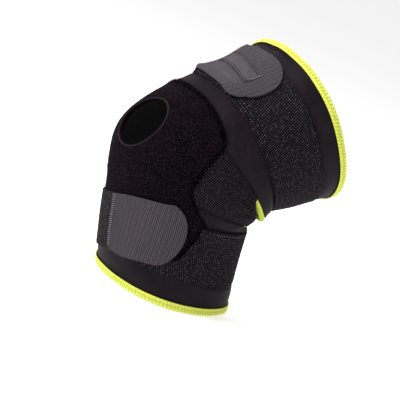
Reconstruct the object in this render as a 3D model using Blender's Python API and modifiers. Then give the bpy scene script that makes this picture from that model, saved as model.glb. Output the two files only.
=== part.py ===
"""Open-patella knee brace with two hook-and-loop straps, shaped as worn on a bent knee.

The shank runs along Z and the thigh leans back over +Y. The brace's right side is +X, its front
faces -Y, and the origin is where the middle lines of shank and thigh cross, inside the knee.
Every panel lies on one bent tube. A place on the tube is (t, phi): t is the length along the
tube's middle line from the calf rim, and phi is the angle round it, 0 at the front, 90 on the
right side and 180 at the back.
"""

import bmesh
import bpy
import math
import numpy as np
from mathutils import Matrix, Vector

# ---------------------------------------------------------------- driving dimensions (metres, degrees)
BEND = math.radians(53.0)          # how far the knee is bent
CREASE_R = 0.066                   # radius of the middle line's bend, about a point behind the knee
CALF_RIM = -0.118                  # height of the calf rim
THIGH_RIM = 0.098                  # distance of the thigh rim from the origin, along the thigh
SECTION_AT = (0.0, 0.20, 0.38, 0.50, 0.62, 0.80, 1.0)          # share of the whole length
HALF_SIDE = (0.060, 0.060, 0.062, 0.068, 0.068, 0.069, 0.0735)
HALF_FRONT = (0.0478, 0.061, 0.0715, 0.0835, 0.0715, 0.064, 0.068)
HALF_BACK = (0.069, 0.062, 0.055, 0.054, 0.058, 0.068, 0.077)
SECTION_POWER = 2.15               # 2 is an ellipse, more is squarer

NEOPRENE = 0.0035                  # thickness of the body panels
SEAM_GAP = 0.0004                  # between panels that meet edge to edge
RIM_WIDTH = 0.0065                 # edge binding seen from outside
RIM_TAPE = 0.0009                  # thickness of the binding tape
EDGING_R = 0.0024                  # rolled binding round the opening behind the knee
HOLE_R = 0.0256                    # cut in the front panel, before its edging
HOLE_EDGE_R = 0.0011
HOLE_T = 0.1095                    # where the patella hole sits
PANEL_LOW = 0.026                  # lower and upper ends of the front panel
PANEL_HIGH = 0.1345
PANEL_LOW_ANGLE = 73.5             # half width of the front panel over the shin, in degrees
PANEL_HIGH_ANGLE = 54.0            # and beside the kneecap
GUSSET_LOW = 0.0900                # the side gussets' lower and upper seams at the front panel
GUSSET_HIGH = 0.1235

WEB_HALF = 0.0245                  # half width of the strap webbing
WEB_THICK = 0.0016
TAB_HALF = 0.0258                  # half width of the hook tabs
TAB_THICK = 0.0014
HOOK_THICK = 0.0006
LAYER_GAP = 0.0007                 # between a strap and what it lies on
UPPER_START = 331.0                # where each webbing is sewn on, in degrees
LOWER_START = 76.0
UPPER_HINGES = (205.0, 250.0, 290.0, 327.0)
LOWER_HINGES = (205.0, 250.0, 295.0, 330.0, 361.0)
UPPER_END = 398.0
LOWER_END = 425.5

TANGENT = CREASE_R * math.tan(BEND / 2)
SHANK = -TANGENT - CALF_RIM
ARC = CREASE_R * BEND
LENGTH = SHANK + ARC + THIGH_RIM - TANGENT

# ---------------------------------------------------------------- clean scene, collections, materials
for old in list(bpy.data.objects):
    bpy.data.objects.remove(old, do_unlink=True)

brace = bpy.data.collections.new("knee_brace")
helpers = bpy.data.collections.new("cutters")
bpy.context.scene.collection.children.link(brace)
bpy.context.scene.collection.children.link(helpers)


def material(name, rgb, roughness, metallic=0.0):
    made = bpy.data.materials.new(name)
    made.use_nodes = True
    shader = made.node_tree.nodes["Principled BSDF"]
    shader.inputs["Base Color"].default_value = (*rgb, 1.0)
    shader.inputs["Roughness"].default_value = roughness
    shader.inputs["Metallic"].default_value = metallic
    return made


# ---------------------------------------------------------------- the bent tube
def smooth_through(x, xs, ys):
    """Cubic through the points that never overshoots them."""
    xs = np.asarray(xs, float)
    ys = np.asarray(ys, float)
    width = np.diff(xs)
    slope = np.diff(ys) / width
    tangent = np.zeros_like(xs)
    for k in range(1, len(xs) - 1):
        if slope[k - 1] * slope[k] > 0:
            a = 2 * width[k] + width[k - 1]
            b = width[k] + 2 * width[k - 1]
            tangent[k] = (a + b) / (a / slope[k - 1] + b / slope[k])
    tangent[0] = slope[0]
    tangent[-1] = slope[-1]
    k = int(np.clip(np.searchsorted(xs, x) - 1, 0, len(xs) - 2))
    u = (x - xs[k]) / width[k]
    return float(
        ys[k] * (1 + 2 * u) * (1 - u) ** 2
        + tangent[k] * width[k] * u * (1 - u) ** 2
        + ys[k + 1] * u * u * (3 - 2 * u)
        + tangent[k + 1] * width[k] * u * u * (u - 1)
    )


def middle_line(t):
    """Centre, front direction and up direction of the tube at t."""
    turn = min(max((t - SHANK) / CREASE_R, 0.0), BEND)
    front = Vector((0.0, -math.cos(turn), math.sin(turn)))
    up = Vector((0.0, math.sin(turn), math.cos(turn)))
    centre = Vector((0.0, CREASE_R, -TANGENT)) + front * CREASE_R
    centre += Vector((0.0, 0.0, min(t - SHANK, 0.0)))
    centre += up * max(t - SHANK - ARC, 0.0)
    return centre, front, up


def on_tube(t, phi, off=0.0):
    """Point at (t, phi), off metres outside the tube."""
    centre, front, _ = middle_line(t)
    share = min(max(t / LENGTH, 0.0), 1.0)
    side = smooth_through(share, SECTION_AT, HALF_SIDE)
    angle = math.radians(phi)
    depth = HALF_FRONT if math.cos(angle) > 0 else HALF_BACK
    deep = smooth_through(share, SECTION_AT, depth)
    power = SECTION_POWER
    reach = abs(math.sin(angle) / side) ** power + abs(math.cos(angle) / deep) ** power
    reach = reach ** (-1 / power) + off
    return centre + front * (reach * math.cos(angle)) + Vector((reach * math.sin(angle), 0.0, 0.0))


def outward(t, phi):
    """Unit normal of the tube at (t, phi)."""
    along = on_tube(t + 0.0005, phi) - on_tube(t - 0.0005, phi)
    around = on_tube(t, phi + 0.5) - on_tube(t, phi - 0.5)
    return around.cross(along).normalized()


def ease(a, b, x):
    u = min(max((x - a) / (b - a), 0.0), 1.0)
    return u * u * (3 - 2 * u)


# ---------------------------------------------------------------- mesh helpers
def finish(name, mesh, look):
    mesh.materials.append(look)
    made = bpy.data.objects.new(name, mesh)
    brace.objects.link(made)
    made.data.shade_smooth()
    made.data.set_sharp_from_angle(angle=math.radians(40))
    return made


def sheet(name, rows, look, thickness, closed=False):
    """Open surface through rows of points, outer face up, given its thickness inwards."""
    bm = bmesh.new()
    grid = []
    for row in rows:
        grid.append([bm.verts.new(point) for point in row])
    count = len(grid[0])
    for low, high in zip(grid, grid[1:]):
        for i in range(count if closed else count - 1):
            j = (i + 1) % count
            bm.faces.new((low[i], low[j], high[j], high[i]))
    mesh = bpy.data.meshes.new(name)
    bm.to_mesh(mesh)
    bm.free()
    made = finish(name, mesh, look)
    shell = made.modifiers.new("thickness", "SOLIDIFY")
    shell.thickness = thickness
    shell.offset = -1.0
    return made


def between(first, last, count):
    """Rows of (t, phi) from one row to another, count steps."""
    rows = []
    for k in range(count + 1):
        v = k / count
        rows.append([((1 - v) * a[0] + v * b[0], (1 - v) * a[1] + v * b[1]) for a, b in zip(first, last)])
    return rows


def placed(rows, off=0.0):
    return [[on_tube(t, phi, off) for t, phi in row] for row in rows]


def smooth_curve(knots, steps):
    """Catmull-Rom line through (t, phi) knots, steps points from each knot to the next."""
    points = []
    padded = [knots[0]] + list(knots) + [knots[-1]]
    for k in range(1, len(padded) - 2):
        p0, p1, p2, p3 = (np.array(padded[k + m], float) for m in (-1, 0, 1, 2))
        for step in range(steps):
            u = step / steps
            point = 0.5 * (
                2 * p1
                + (p2 - p0) * u
                + (2 * p0 - 5 * p1 + 4 * p2 - p3) * u * u
                + (3 * p1 - p0 - 3 * p2 + p3) * u ** 3
            )
            points.append((float(point[0]), float(point[1])))
    points.append(tuple(knots[-1]))
    return points


def ring_tube(name, points, radius, look, sides=2):
    """Closed tube of round section through the points."""
    data = bpy.data.curves.new(name, "CURVE")
    data.dimensions = "3D"
    line = data.splines.new("POLY")
    line.points.add(len(points) - 1)
    for slot, point in zip(line.points, points):
        slot.co = (*point, 1.0)
    line.use_cyclic_u = True
    data.bevel_depth = radius
    data.bevel_resolution = sides
    data.materials.append(look)
    made = bpy.data.objects.new(name, data)
    brace.objects.link(made)
    return made


# ---------------------------------------------------------------- seam lines shared by the panels
def panel_angle(t):
    """Half width of the front panel at t, in degrees."""
    wide = PANEL_LOW_ANGLE + (PANEL_HIGH_ANGLE - PANEL_LOW_ANGLE) * ease(0.089, 0.102, t)
    below = max(PANEL_LOW + 0.020 - t, 0.0) / 0.020
    above = max(t - PANEL_HIGH + 0.0125, 0.0) / 0.0125
    wide *= max(1 - below ** 2.6, 0.0) ** (1 / 2.2)
    return wide * max(1 - above ** 2.4, 0.0) ** (1 / 2.4)


side_t = [PANEL_LOW + 0.0003 + 0.0197 * (1 - math.cos(math.radians(90 * k / 8))) for k in range(9)]
side_t += [0.054, 0.062, 0.070, 0.076, 0.083, GUSSET_LOW]
gusset_start = len(side_t) - 1
side_t += [0.0945, 0.0995, 0.1055, 0.1115, 0.1175, GUSSET_HIGH]
gusset_stop = len(side_t) - 1
side_t += [GUSSET_HIGH + (PANEL_HIGH - 0.0003 - GUSSET_HIGH) * math.sin(math.radians(90 * k / 8)) for k in range(1, 9)]
panel_side = [(t, panel_angle(t)) for t in side_t]

ends_cells = 4
panel_bottom = [(side_t[0], panel_side[0][1] * k / ends_cells) for k in range(ends_cells)]
panel_top = [(side_t[-1], panel_side[-1][1] * k / ends_cells) for k in range(ends_cells)]

# Edge of the opening behind the knee, right half: bottom of the back, round its end, top of the back.
lower_edge = smooth_curve(
    [(0.089, 117.0), (0.084, 130.0), (0.081, 147.0), (0.0795, 164.0), (0.079, 180.0)], 2
)
end_edge = smooth_curve(
    [(0.089, 117.0), (0.0955, 107.5), (0.104, 100.5), (0.1125, 97.5), (0.1195, 100.0), (0.1205, 106.0)], 2
)
upper_edge = smooth_curve(
    [(0.1205, 106.0), (0.118, 118.0), (0.118, 131.0), (0.122, 145.0), (0.129, 158.0), (0.135, 170.0), (0.138, 180.0)],
    2,
)
corner = panel_side[gusset_start]
gusset_low = [
    (corner[0] + (0.089 - corner[0]) * k / 7, corner[1] + (117.0 - corner[1]) * k / 7) for k in range(8)
]
corner = panel_side[gusset_stop]
gusset_high = []
for k in range(8):
    share = k / 7
    gusset_high.append((corner[0] + (0.1205 - corner[0]) * share ** 1.6, corner[1] + (106.0 - corner[1]) * share))


def both_sides(half):
    """Closed line round the tube from a half that runs from the front to the back."""
    left = [(t, 360.0 - phi) for t, phi in reversed(half[1:-1])]
    return half + left


def shrunk(rows, centre, share_t, share_phi):
    """Rows pulled in towards a centre, so that a panel clears its neighbours."""
    return [
        [(centre[0] + (t - centre[0]) * share_t, centre[1] + (phi - centre[1]) * share_phi) for t, phi in row]
        for row in rows
    ]


# ---------------------------------------------------------------- materials, one for each piece
charcoal = (0.030, 0.026, 0.031)
plush_black = (0.010, 0.009, 0.012)
knit_black = (0.016, 0.015, 0.018)
webbing_black = (0.015, 0.014, 0.017)
tab_grey = (0.080, 0.072, 0.084)
lime = (0.65, 0.85, 0.05)


def look(name, rgb, roughness):
    return material(name + "_fabric", rgb, roughness)


# ---------------------------------------------------------------- calf sleeve
half = panel_bottom + panel_side[: gusset_start + 1] + gusset_low[1:] + lower_edge[1:]
calf_top = both_sides(half)
beside = next(k for k, (_, phi) in enumerate(half) if phi > PANEL_LOW_ANGLE - 0.01)
steps = [0.0]
for a, b in zip(half[beside:], half[beside + 1 :]):
    steps.append(steps[-1] + abs(b[1] - a[1]) + 300.0 * abs(b[0] - a[0]))
half_bottom = [(0.0024, phi) for _, phi in half[:beside]]
half_bottom += [(0.0024, half[beside][1] + (180.0 - half[beside][1]) * s / steps[-1]) for s in steps]
sheet(
    "calf_sleeve",
    placed(between(both_sides(half_bottom), calf_top, 9)),
    look("calf_sleeve", charcoal, 0.75),
    NEOPRENE,
    closed=True,
)

# ---------------------------------------------------------------- thigh sleeve
half = panel_top + list(reversed(panel_side[gusset_stop:])) + gusset_high[1:] + upper_edge[1:]
thigh_low = both_sides(half)
thigh_high = [(LENGTH - 0.0026, phi) for _, phi in thigh_low]
rows = between(thigh_low, thigh_high, 9)
sheet("thigh_sleeve", placed(rows), look("thigh_sleeve", charcoal, 0.75), NEOPRENE, closed=True)

# ---------------------------------------------------------------- front panel with the patella hole
columns = 24
rows = []
for t, wide in panel_side:
    rows.append([(t, wide * (2 * i / columns - 1)) for i in range(columns + 1)])
rows = shrunk(rows, (0.080, 0.0), 1 - SEAM_GAP / 0.054, 0.9925)
panel = sheet("front_plush_panel", placed(rows), look("front_plush_panel", plush_black, 0.95), NEOPRENE)

hole_centre = on_tube(HOLE_T, 0.0)
hole_axis = outward(HOLE_T, 0.0)
turn = Vector((0.0, 0.0, 1.0)).rotation_difference(hole_axis).to_matrix().to_4x4()
bpy.ops.mesh.primitive_cylinder_add(vertices=40, radius=HOLE_R, depth=0.05)
cutter = bpy.context.object
cutter.name = "patella_hole_cutter"
cutter.matrix_world = Matrix.Translation(hole_centre) @ turn
for owner in list(cutter.users_collection):
    owner.objects.unlink(cutter)
helpers.objects.link(cutter)
cutter.hide_render = True
cutter.display_type = "WIRE"
cut = panel.modifiers.new("patella_hole", "BOOLEAN")
cut.operation = "DIFFERENCE"
cut.object = cutter
cut.solver = "EXACT"


def hole_point(angle, radius, off):
    """Point over the tube's surface that stands radius away from the hole's axis."""
    flat = turn @ Vector((radius * math.cos(angle), radius * math.sin(angle), 0.0))
    t = HOLE_T
    phi = 0.0
    for _ in range(12):
        gap = hole_centre + flat - on_tube(t, phi)
        gap -= hole_axis * gap.dot(hole_axis)
        along = (on_tube(t + 0.0005, phi) - on_tube(t - 0.0005, phi)) / 0.001
        around = on_tube(t, phi + 0.5) - on_tube(t, phi - 0.5)
        t += gap.dot(along) / along.length_squared
        phi += gap.dot(around) / around.length_squared
    return on_tube(t, phi, off)


edge = [hole_point(2 * math.pi * k / 36, HOLE_R - HOLE_EDGE_R - 0.0003, -0.0010) for k in range(36)]
ring_tube("patella_hole_edging", edge, HOLE_EDGE_R, look("patella_hole_edging", plush_black, 0.8))

# ---------------------------------------------------------------- side gussets
front = panel_side[gusset_start : gusset_stop + 1]
back_line = end_edge


def resampled(line, count):
    """count points evenly spread along a (t, phi) line."""
    flat = np.array(line, float)
    size = np.hypot(np.diff(flat[:, 0]), np.diff(flat[:, 1]) / 900.0)
    place = np.concatenate([[0.0], np.cumsum(size)])
    at = np.linspace(0.0, place[-1], count)
    return list(zip(np.interp(at, place, flat[:, 0]), np.interp(at, place, flat[:, 1])))


back_line = resampled(end_edge, len(front))
gusset_rows = []
for k, (a, b) in enumerate(zip(front, back_line)):
    v = k / (len(front) - 1)
    row = []
    for i in range(8):
        u = i / 7
        straight = np.array(a) * (1 - u) + np.array(b) * u
        low_bow = np.array(gusset_low[i]) - (np.array(front[0]) * (1 - u) + np.array(back_line[0]) * u)
        high_bow = np.array(gusset_high[i]) - (np.array(front[-1]) * (1 - u) + np.array(back_line[-1]) * u)
        row.append(tuple(straight + low_bow * (1 - v) + high_bow * v))
    gusset_rows.append(row)
gusset_rows = shrunk(gusset_rows, (0.1055, 80.0), 1 - SEAM_GAP / 0.015, 0.974)
right_rows = gusset_rows
left_rows = [[(t, 360.0 - phi) for t, phi in reversed(row)] for row in gusset_rows]
sheet("side_gusset_right", placed(right_rows), look("side_gusset_right", knit_black, 0.9), NEOPRENE)
sheet("side_gusset_left", placed(left_rows), look("side_gusset_left", knit_black, 0.9), NEOPRENE)

# ---------------------------------------------------------------- rolled binding of the opening behind the knee
half = list(reversed(lower_edge)) + end_edge[1:] + upper_edge[1:]
loop = half + [(t, 360.0 - phi) for t, phi in reversed(half[1:-1])]
path = []
for k, (t, phi) in enumerate(loop):
    before = on_tube(*loop[k - 1], -NEOPRENE / 2)
    after = on_tube(*loop[(k + 1) % len(loop)], -NEOPRENE / 2)
    normal = outward(t, phi)
    inwards = (after - before).normalized().cross(normal)
    path.append(on_tube(t, phi, -NEOPRENE / 2) + inwards * (EDGING_R + 0.0008))
ring_tube("popliteal_edging", path, EDGING_R, look("popliteal_edging", lime, 0.7), sides=2)

# ---------------------------------------------------------------- folded bindings on the two rims


def rim_binding(name, end, inwards):
    """U-shaped tape over the rim at end, its legs reaching inwards along t."""
    half_tape = RIM_TAPE / 2
    outer = 0.0007 + half_tape
    inner = -NEOPRENE - 0.0008 - half_tape
    profile = [
        (RIM_WIDTH, outer),
        (0.0030, outer),
        (half_tape + 0.0005, outer),
        (half_tape, outer - 0.0005),
        (half_tape, inner + 0.0005),
        (half_tape + 0.0005, inner),
        (0.0030, inner),
        (RIM_WIDTH, inner),
    ]
    rows = []
    for reach, off in profile:
        rows.append([on_tube(end + inwards * reach, 7.5 * i, off) for i in range(48)])
    if inwards > 0:
        rows.reverse()
    made = sheet(name, rows, look(name, lime, 0.7), RIM_TAPE, closed=True)
    made.modifiers["thickness"].offset = 0.0
    made.modifiers["thickness"].use_even_offset = True
    return made


rim_binding("calf_rim_binding", 0.0, 1.0)
rim_binding("thigh_rim_binding", LENGTH, -1.0)


# ---------------------------------------------------------------- straps
def upper_line(turn):
    """t of the upper strap's middle. It climbs behind the knee to clear the crease."""
    climb = 0.0085 * ease(135.0, 185.0, turn) * (1 - ease(215.0, 300.0, turn))
    slant = 0.0060 * ease(270.0, 330.0, turn) * (1 - ease(340.0, 400.0, turn))
    return 0.16475 + climb + slant


def lower_line(turn):
    """t of the lower strap's middle. It sinks round the left side and rises over the shin."""
    sink = 0.0125 * ease(150.0, 300.0, turn)
    rise = 0.0215 * ease(300.0, 440.0, turn) + 0.0030 * ease(330.0, 410.0, turn)
    return 0.0510 - sink + rise


def lift(turn, start, stop, height):
    return height * ease(start, stop, turn)


def strap_piece(name, line, start, stop, half_width, base, thickness, look_of, cells, rows_across=3):
    """Band along the strap's line from start to stop degrees; base(turn) is its inner face's height."""
    rows = []
    for k in range(rows_across + 1):
        v = 2 * k / rows_across - 1
        row = []
        for i in range(cells + 1):
            turn_at = start + (stop - start) * i / cells
            row.append(on_tube(line(turn_at) + v * half_width, turn_at, base(turn_at) + thickness))
        rows.append(row)
    return sheet(name, rows, look_of, thickness)


def tab_piece(name, line, start, stop, half_width, base, thickness, look_of, rounding=21.0, cells=8, inset=0.0):
    """Band with a rounded free end; rounding is how many degrees the corners take."""
    rows = []
    across = 8
    for k in range(across + 1):
        v = math.sin(math.radians(90.0 * (2 * k / across - 1)))
        corner = rounding * (1 - max(1 - abs(v) ** 2.6, 0.0) ** (1 / 2.6))
        row = []
        for i in range(cells + 1):
            share = i / cells
            turn_at = start + (stop - inset - corner - start) * share
            row.append(on_tube(line(turn_at) + v * half_width, turn_at, base(turn_at) + thickness))
        rows.append(row)
    return sheet(name, rows, look_of, thickness)


def upper_base(turn_at):
    """The free end climbs over the strap's own sewn start."""
    return LAYER_GAP + lift(turn_at, 311.0, 323.0, 0.0028)


def lower_base(turn_at):
    return LAYER_GAP


SLIT = 0.20                        # half the gap between two strap lengths, in degrees

# Sewn lengths: from the start round the right side to the back.
strap_piece(
    "upper_strap_webbing_1", upper_line, UPPER_START - 360.0, UPPER_HINGES[0] - SLIT, WEB_HALF,
    lower_base, WEB_THICK, look("upper_strap_webbing_1", webbing_black, 0.85), 32,
)
strap_piece(
    "lower_strap_webbing_1", lower_line, LOWER_START, LOWER_HINGES[0] - SLIT, WEB_HALF,
    lower_base, WEB_THICK, look("lower_strap_webbing_1", webbing_black, 0.85), 18,
)
# Free lengths, hinged to each other where the webbing bends.
for k in range(len(UPPER_HINGES) - 1):
    name = f"upper_strap_webbing_{k + 2}"
    strap_piece(
        name, upper_line, UPPER_HINGES[k] + SLIT, UPPER_HINGES[k + 1] - SLIT, WEB_HALF,
        upper_base, WEB_THICK, look(name, webbing_black, 0.85), 6,
    )
for k in range(len(LOWER_HINGES) - 1):
    name = f"lower_strap_webbing_{k + 2}"
    strap_piece(
        name, lower_line, LOWER_HINGES[k] + SLIT, LOWER_HINGES[k + 1] - SLIT, WEB_HALF,
        lower_base, WEB_THICK, look(name, webbing_black, 0.85), 6,
    )


def upper_tab_base(turn_at):
    return 0.0038


def upper_hook_base(turn_at):
    return 0.0028


def lower_tab_base(turn_at):
    return 0.0016


tab_piece(
    "upper_strap_tab", upper_line, UPPER_HINGES[-1] + SLIT, UPPER_END, TAB_HALF,
    upper_tab_base, TAB_THICK, look("upper_strap_tab", tab_grey, 0.8), cells=12,
)
tab_piece(
    "lower_strap_tab", lower_line, LOWER_HINGES[-1] + SLIT, LOWER_END, TAB_HALF,
    lower_tab_base, TAB_THICK, look("lower_strap_tab", tab_grey, 0.8), cells=12,
)
tab_piece(
    "upper_tab_hook_patch", upper_line, 340.0, UPPER_END, TAB_HALF - 0.0022,
    upper_hook_base, HOOK_THICK, look("upper_tab_hook_patch", (0.020, 0.018, 0.022), 0.7), inset=2.2,
)
tab_piece(
    "lower_tab_hook_patch", lower_line, 372.0, LOWER_END, TAB_HALF - 0.0022,
    lower_base, HOOK_THICK, look("lower_tab_hook_patch", (0.020, 0.018, 0.022), 0.7), inset=2.4,
)


def label_line(turn_at):
    return 0.1722 - 0.0125 * ease(325.0, 405.0, turn_at)


def label_base(turn_at):
    return upper_tab_base(turn_at) + TAB_THICK + 0.0004


strap_piece(
    "upper_tab_label", label_line, 332.0, 385.0, 0.0088, label_base, 0.0006,
    look("upper_tab_label", (0.018, 0.016, 0.020), 0.8), 8, rows_across=2,
)


# ---------------------------------------------------------------- hinge lines, each an empty that carries its pieces
KNEE_FORWARD = 0.040               # the bend's axis lies this far ahead of the tube's middle


def hinge(name, at, along, carrier, pieces):
    """Empty at a hinge, its Z along the axis, parented to the empty it moves with."""
    pivot = bpy.data.objects.new(name, None)
    brace.objects.link(pivot)
    pivot.empty_display_size = 0.02
    turn_to = Vector((0.0, 0.0, 1.0)).rotation_difference(along.normalized())
    rest = Matrix.Translation(at) @ turn_to.to_matrix().to_4x4()
    pivot.matrix_world = rest
    bpy.context.view_layer.update()
    if carrier:
        pivot.parent = carrier
        pivot.matrix_parent_inverse = carrier.matrix_world.inverted()
        bpy.context.view_layer.update()
    for piece in pieces:
        made = bpy.data.objects[piece]
        made.parent = pivot
        made.matrix_parent_inverse = pivot.matrix_world.inverted()
    bpy.context.view_layer.update()
    return pivot


def strap_hinges(stem, line, base, turns, carrier):
    """The free strap lengths, each hinged to the one before along the webbing's outer face."""
    for k, turn_at in enumerate(turns):
        height = base(turn_at) + WEB_THICK + 0.00015
        if k == len(turns) - 1:
            height += 0.0002
        low = on_tube(line(turn_at) - WEB_HALF, turn_at, height)
        high = on_tube(line(turn_at) + WEB_HALF, turn_at, height)
        pieces = [f"{stem}_strap_webbing_{k + 2}"]
        if k == len(turns) - 1:
            pieces = [f"{stem}_strap_tab", f"{stem}_tab_hook_patch"]
            pieces += ["upper_tab_label"] if stem == "upper" else []
        carrier = hinge(f"{stem}_strap_hinge_{k + 1}", (low + high) / 2, low - high, carrier, pieces)


knee_axis = Vector((0.0, -math.cos(BEND / 2), math.sin(BEND / 2))) * KNEE_FORWARD
knee = hinge(
    "knee_hinge", knee_axis, Vector((-1.0, 0.0, 0.0)), None,
    ["thigh_sleeve", "thigh_rim_binding", "upper_strap_webbing_1"],
)
strap_hinges("upper", upper_line, upper_base, UPPER_HINGES, knee)
strap_hinges("lower", lower_line, lower_base, LOWER_HINGES, None)
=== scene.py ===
"""Looks of the open-patella knee brace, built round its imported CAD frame.

A place on the brace is (t, phi), as in the CAD: t runs along the bent tube's middle line from the
calf rim, and phi goes round it, 0 at the front, 90 on the right side, 180 at the back. Lengths are
in metres. A map in each mesh holds centimetres of cloth, so every weave has its real pitch.
"""

import math

import bpy
import numpy as np
from mathutils import Matrix, Vector


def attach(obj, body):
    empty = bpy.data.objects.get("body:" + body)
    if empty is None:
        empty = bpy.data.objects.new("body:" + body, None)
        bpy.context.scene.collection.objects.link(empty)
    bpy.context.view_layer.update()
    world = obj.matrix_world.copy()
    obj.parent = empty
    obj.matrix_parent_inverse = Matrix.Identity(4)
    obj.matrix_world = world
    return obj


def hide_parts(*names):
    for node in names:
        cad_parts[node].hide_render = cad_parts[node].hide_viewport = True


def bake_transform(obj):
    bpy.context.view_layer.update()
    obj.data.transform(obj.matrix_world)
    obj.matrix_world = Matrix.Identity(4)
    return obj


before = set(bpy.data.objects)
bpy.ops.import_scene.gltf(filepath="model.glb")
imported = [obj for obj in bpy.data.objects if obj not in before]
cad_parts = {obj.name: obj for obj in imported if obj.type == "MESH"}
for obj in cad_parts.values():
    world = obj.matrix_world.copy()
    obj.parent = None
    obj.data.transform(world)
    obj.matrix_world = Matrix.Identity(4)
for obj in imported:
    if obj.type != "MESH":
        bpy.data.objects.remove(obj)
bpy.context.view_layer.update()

# ---------------------------------------------------------------- the bent tube, as in the CAD
BEND = math.radians(53.0)
CREASE_R = 0.066
CALF_RIM = -0.118
THIGH_RIM = 0.098
SECTION_AT = (0.0, 0.20, 0.38, 0.50, 0.62, 0.80, 1.0)
HALF_SIDE = (0.060, 0.060, 0.062, 0.068, 0.068, 0.069, 0.0735)
HALF_FRONT = (0.0478, 0.061, 0.0715, 0.0835, 0.0715, 0.064, 0.068)
HALF_BACK = (0.069, 0.062, 0.055, 0.054, 0.058, 0.068, 0.077)
SECTION_POWER = 2.15
NEOPRENE = 0.0035
RIM_WIDTH = 0.0065
HOLE_R = 0.0252
HOLE_T = 0.1095
PANEL_LOW = 0.0360
PANEL_HIGH = 0.1328
PANEL_LOW_ANGLE = 76.0
PANEL_HIGH_ANGLE = 54.8
GUSSET_LOW = 0.0900
GUSSET_HIGH = 0.1235
WEB_HALF = 0.0245
WEB_THICK = 0.0016
TAB_HALF = 0.0258
TAB_THICK = 0.0014
LAYER_GAP = 0.0007
UPPER_START = -21.0
LOWER_START = 76.0
UPPER_HINGES = (205.0, 250.0, 290.0, 327.0)
LOWER_HINGES = (205.0, 250.0, 295.0, 330.0, 361.0)
UPPER_END = 397.0
LOWER_END = 425.0
TANGENT = CREASE_R * math.tan(BEND / 2)
SHANK = -TANGENT - CALF_RIM
ARC = CREASE_R * BEND
LENGTH = SHANK + ARC + THIGH_RIM - TANGENT
THIGH_AXIS = np.array([0.0, math.sin(BEND), math.cos(BEND)])


def smooth_table(xs, ys):
    """Cubic through the points that never overshoots them, as a function of an array."""
    xs = np.asarray(xs, float)
    ys = np.asarray(ys, float)
    width = np.diff(xs)
    slope = np.diff(ys) / width
    tangent = np.zeros_like(xs)
    for k in range(1, len(xs) - 1):
        if slope[k - 1] * slope[k] > 0:
            a = 2 * width[k] + width[k - 1]
            b = width[k] + 2 * width[k - 1]
            tangent[k] = (a + b) / (a / slope[k - 1] + b / slope[k])
    tangent[0] = slope[0]
    tangent[-1] = slope[-1]

    def value(x):
        k = np.clip(np.searchsorted(xs, x) - 1, 0, len(xs) - 2)
        u = (x - xs[k]) / width[k]
        return (
            ys[k] * (1 + 2 * u) * (1 - u) ** 2
            + tangent[k] * width[k] * u * (1 - u) ** 2
            + ys[k + 1] * u * u * (3 - 2 * u)
            + tangent[k + 1] * width[k] * u * u * (u - 1)
        )

    return value


side_reach = smooth_table(SECTION_AT, HALF_SIDE)
front_reach = smooth_table(SECTION_AT, HALF_FRONT)
back_reach = smooth_table(SECTION_AT, HALF_BACK)


def tube(t, phi, off=0.0):
    """Points at (t, phi), off metres outside the tube."""
    t, phi, off = np.broadcast_arrays(np.asarray(t, float), np.asarray(phi, float), np.asarray(off, float))
    turn = np.clip((t - SHANK) / CREASE_R, 0.0, BEND)
    nothing = np.zeros_like(turn)
    front = np.stack([nothing, -np.cos(turn), np.sin(turn)], -1)
    up = np.stack([nothing, np.sin(turn), np.cos(turn)], -1)
    centre = np.array([0.0, CREASE_R, -TANGENT]) + front * CREASE_R
    centre[..., 2] += np.minimum(t - SHANK, 0.0)
    centre = centre + up * np.maximum(t - SHANK - ARC, 0.0)[..., None]
    share = np.clip(t / LENGTH, 0.0, 1.0)
    angle = np.radians(phi)
    across = np.sin(angle)
    ahead = np.cos(angle)
    deep = np.where(ahead > 0, front_reach(share), back_reach(share))
    reach = np.abs(across / side_reach(share)) ** SECTION_POWER + np.abs(ahead / deep) ** SECTION_POWER
    reach = reach ** (-1 / SECTION_POWER) + off
    made = centre + front * (reach * ahead)[..., None]
    made[..., 0] += reach * across
    return made


def outward(t, phi):
    """Unit normals of the tube at (t, phi)."""
    along = tube(t + 0.0005, phi) - tube(t - 0.0005, phi)
    around = tube(t, phi + 0.5) - tube(t, phi - 0.5)
    normal = np.cross(around, along)
    return normal / np.linalg.norm(normal, axis=-1, keepdims=True)


def ease(a, b, x):
    u = np.clip((np.asarray(x, float) - a) / (b - a), 0.0, 1.0)
    return u * u * (3 - 2 * u)


def bell(x, centre, width):
    return np.exp(-(((x - centre) / width) ** 2))


def side_angle(phi):
    """How far round from the front, 0 to 180 on either side."""
    return np.abs((np.asarray(phi, float) + 180.0) % 360.0 - 180.0)


def ripple(points, wave, seed, count=6):
    """Smooth noise of points, about -1 to 1, with features of about that size."""
    rng = np.random.RandomState(seed)
    total = np.zeros(points.shape[:-1])
    for _ in range(count):
        way = rng.normal(size=3)
        way *= 2 * math.pi / (wave * rng.uniform(0.7, 1.4) * np.linalg.norm(way))
        total += np.sin(points @ way + rng.uniform(0.0, 2 * math.pi))
    return total / math.sqrt(count)


def upper_line(turn):
    """Middle of the upper strap."""
    climb = 0.0085 * ease(135.0, 185.0, turn) * (1 - ease(215.0, 300.0, turn))
    slant = 0.0060 * ease(270.0, 330.0, turn) * (1 - ease(340.0, 400.0, turn))
    return 0.16475 + climb + slant


def lower_line(turn):
    """Middle of the lower strap."""
    sink = 0.0125 * ease(150.0, 300.0, turn)
    rise = 0.0215 * ease(300.0, 440.0, turn) + 0.0030 * ease(330.0, 410.0, turn)
    return 0.0510 - sink + rise


def bite(t, turn, line):
    """1 where a tight strap presses into the sleeve, easing to 0 beyond its edges."""
    low = line(turn) - WEB_HALF
    high = line(turn) + WEB_HALF
    return ease(low - 0.0040, low - 0.0004, t) * (1 - ease(high + 0.0004, high + 0.0040, t))


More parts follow.
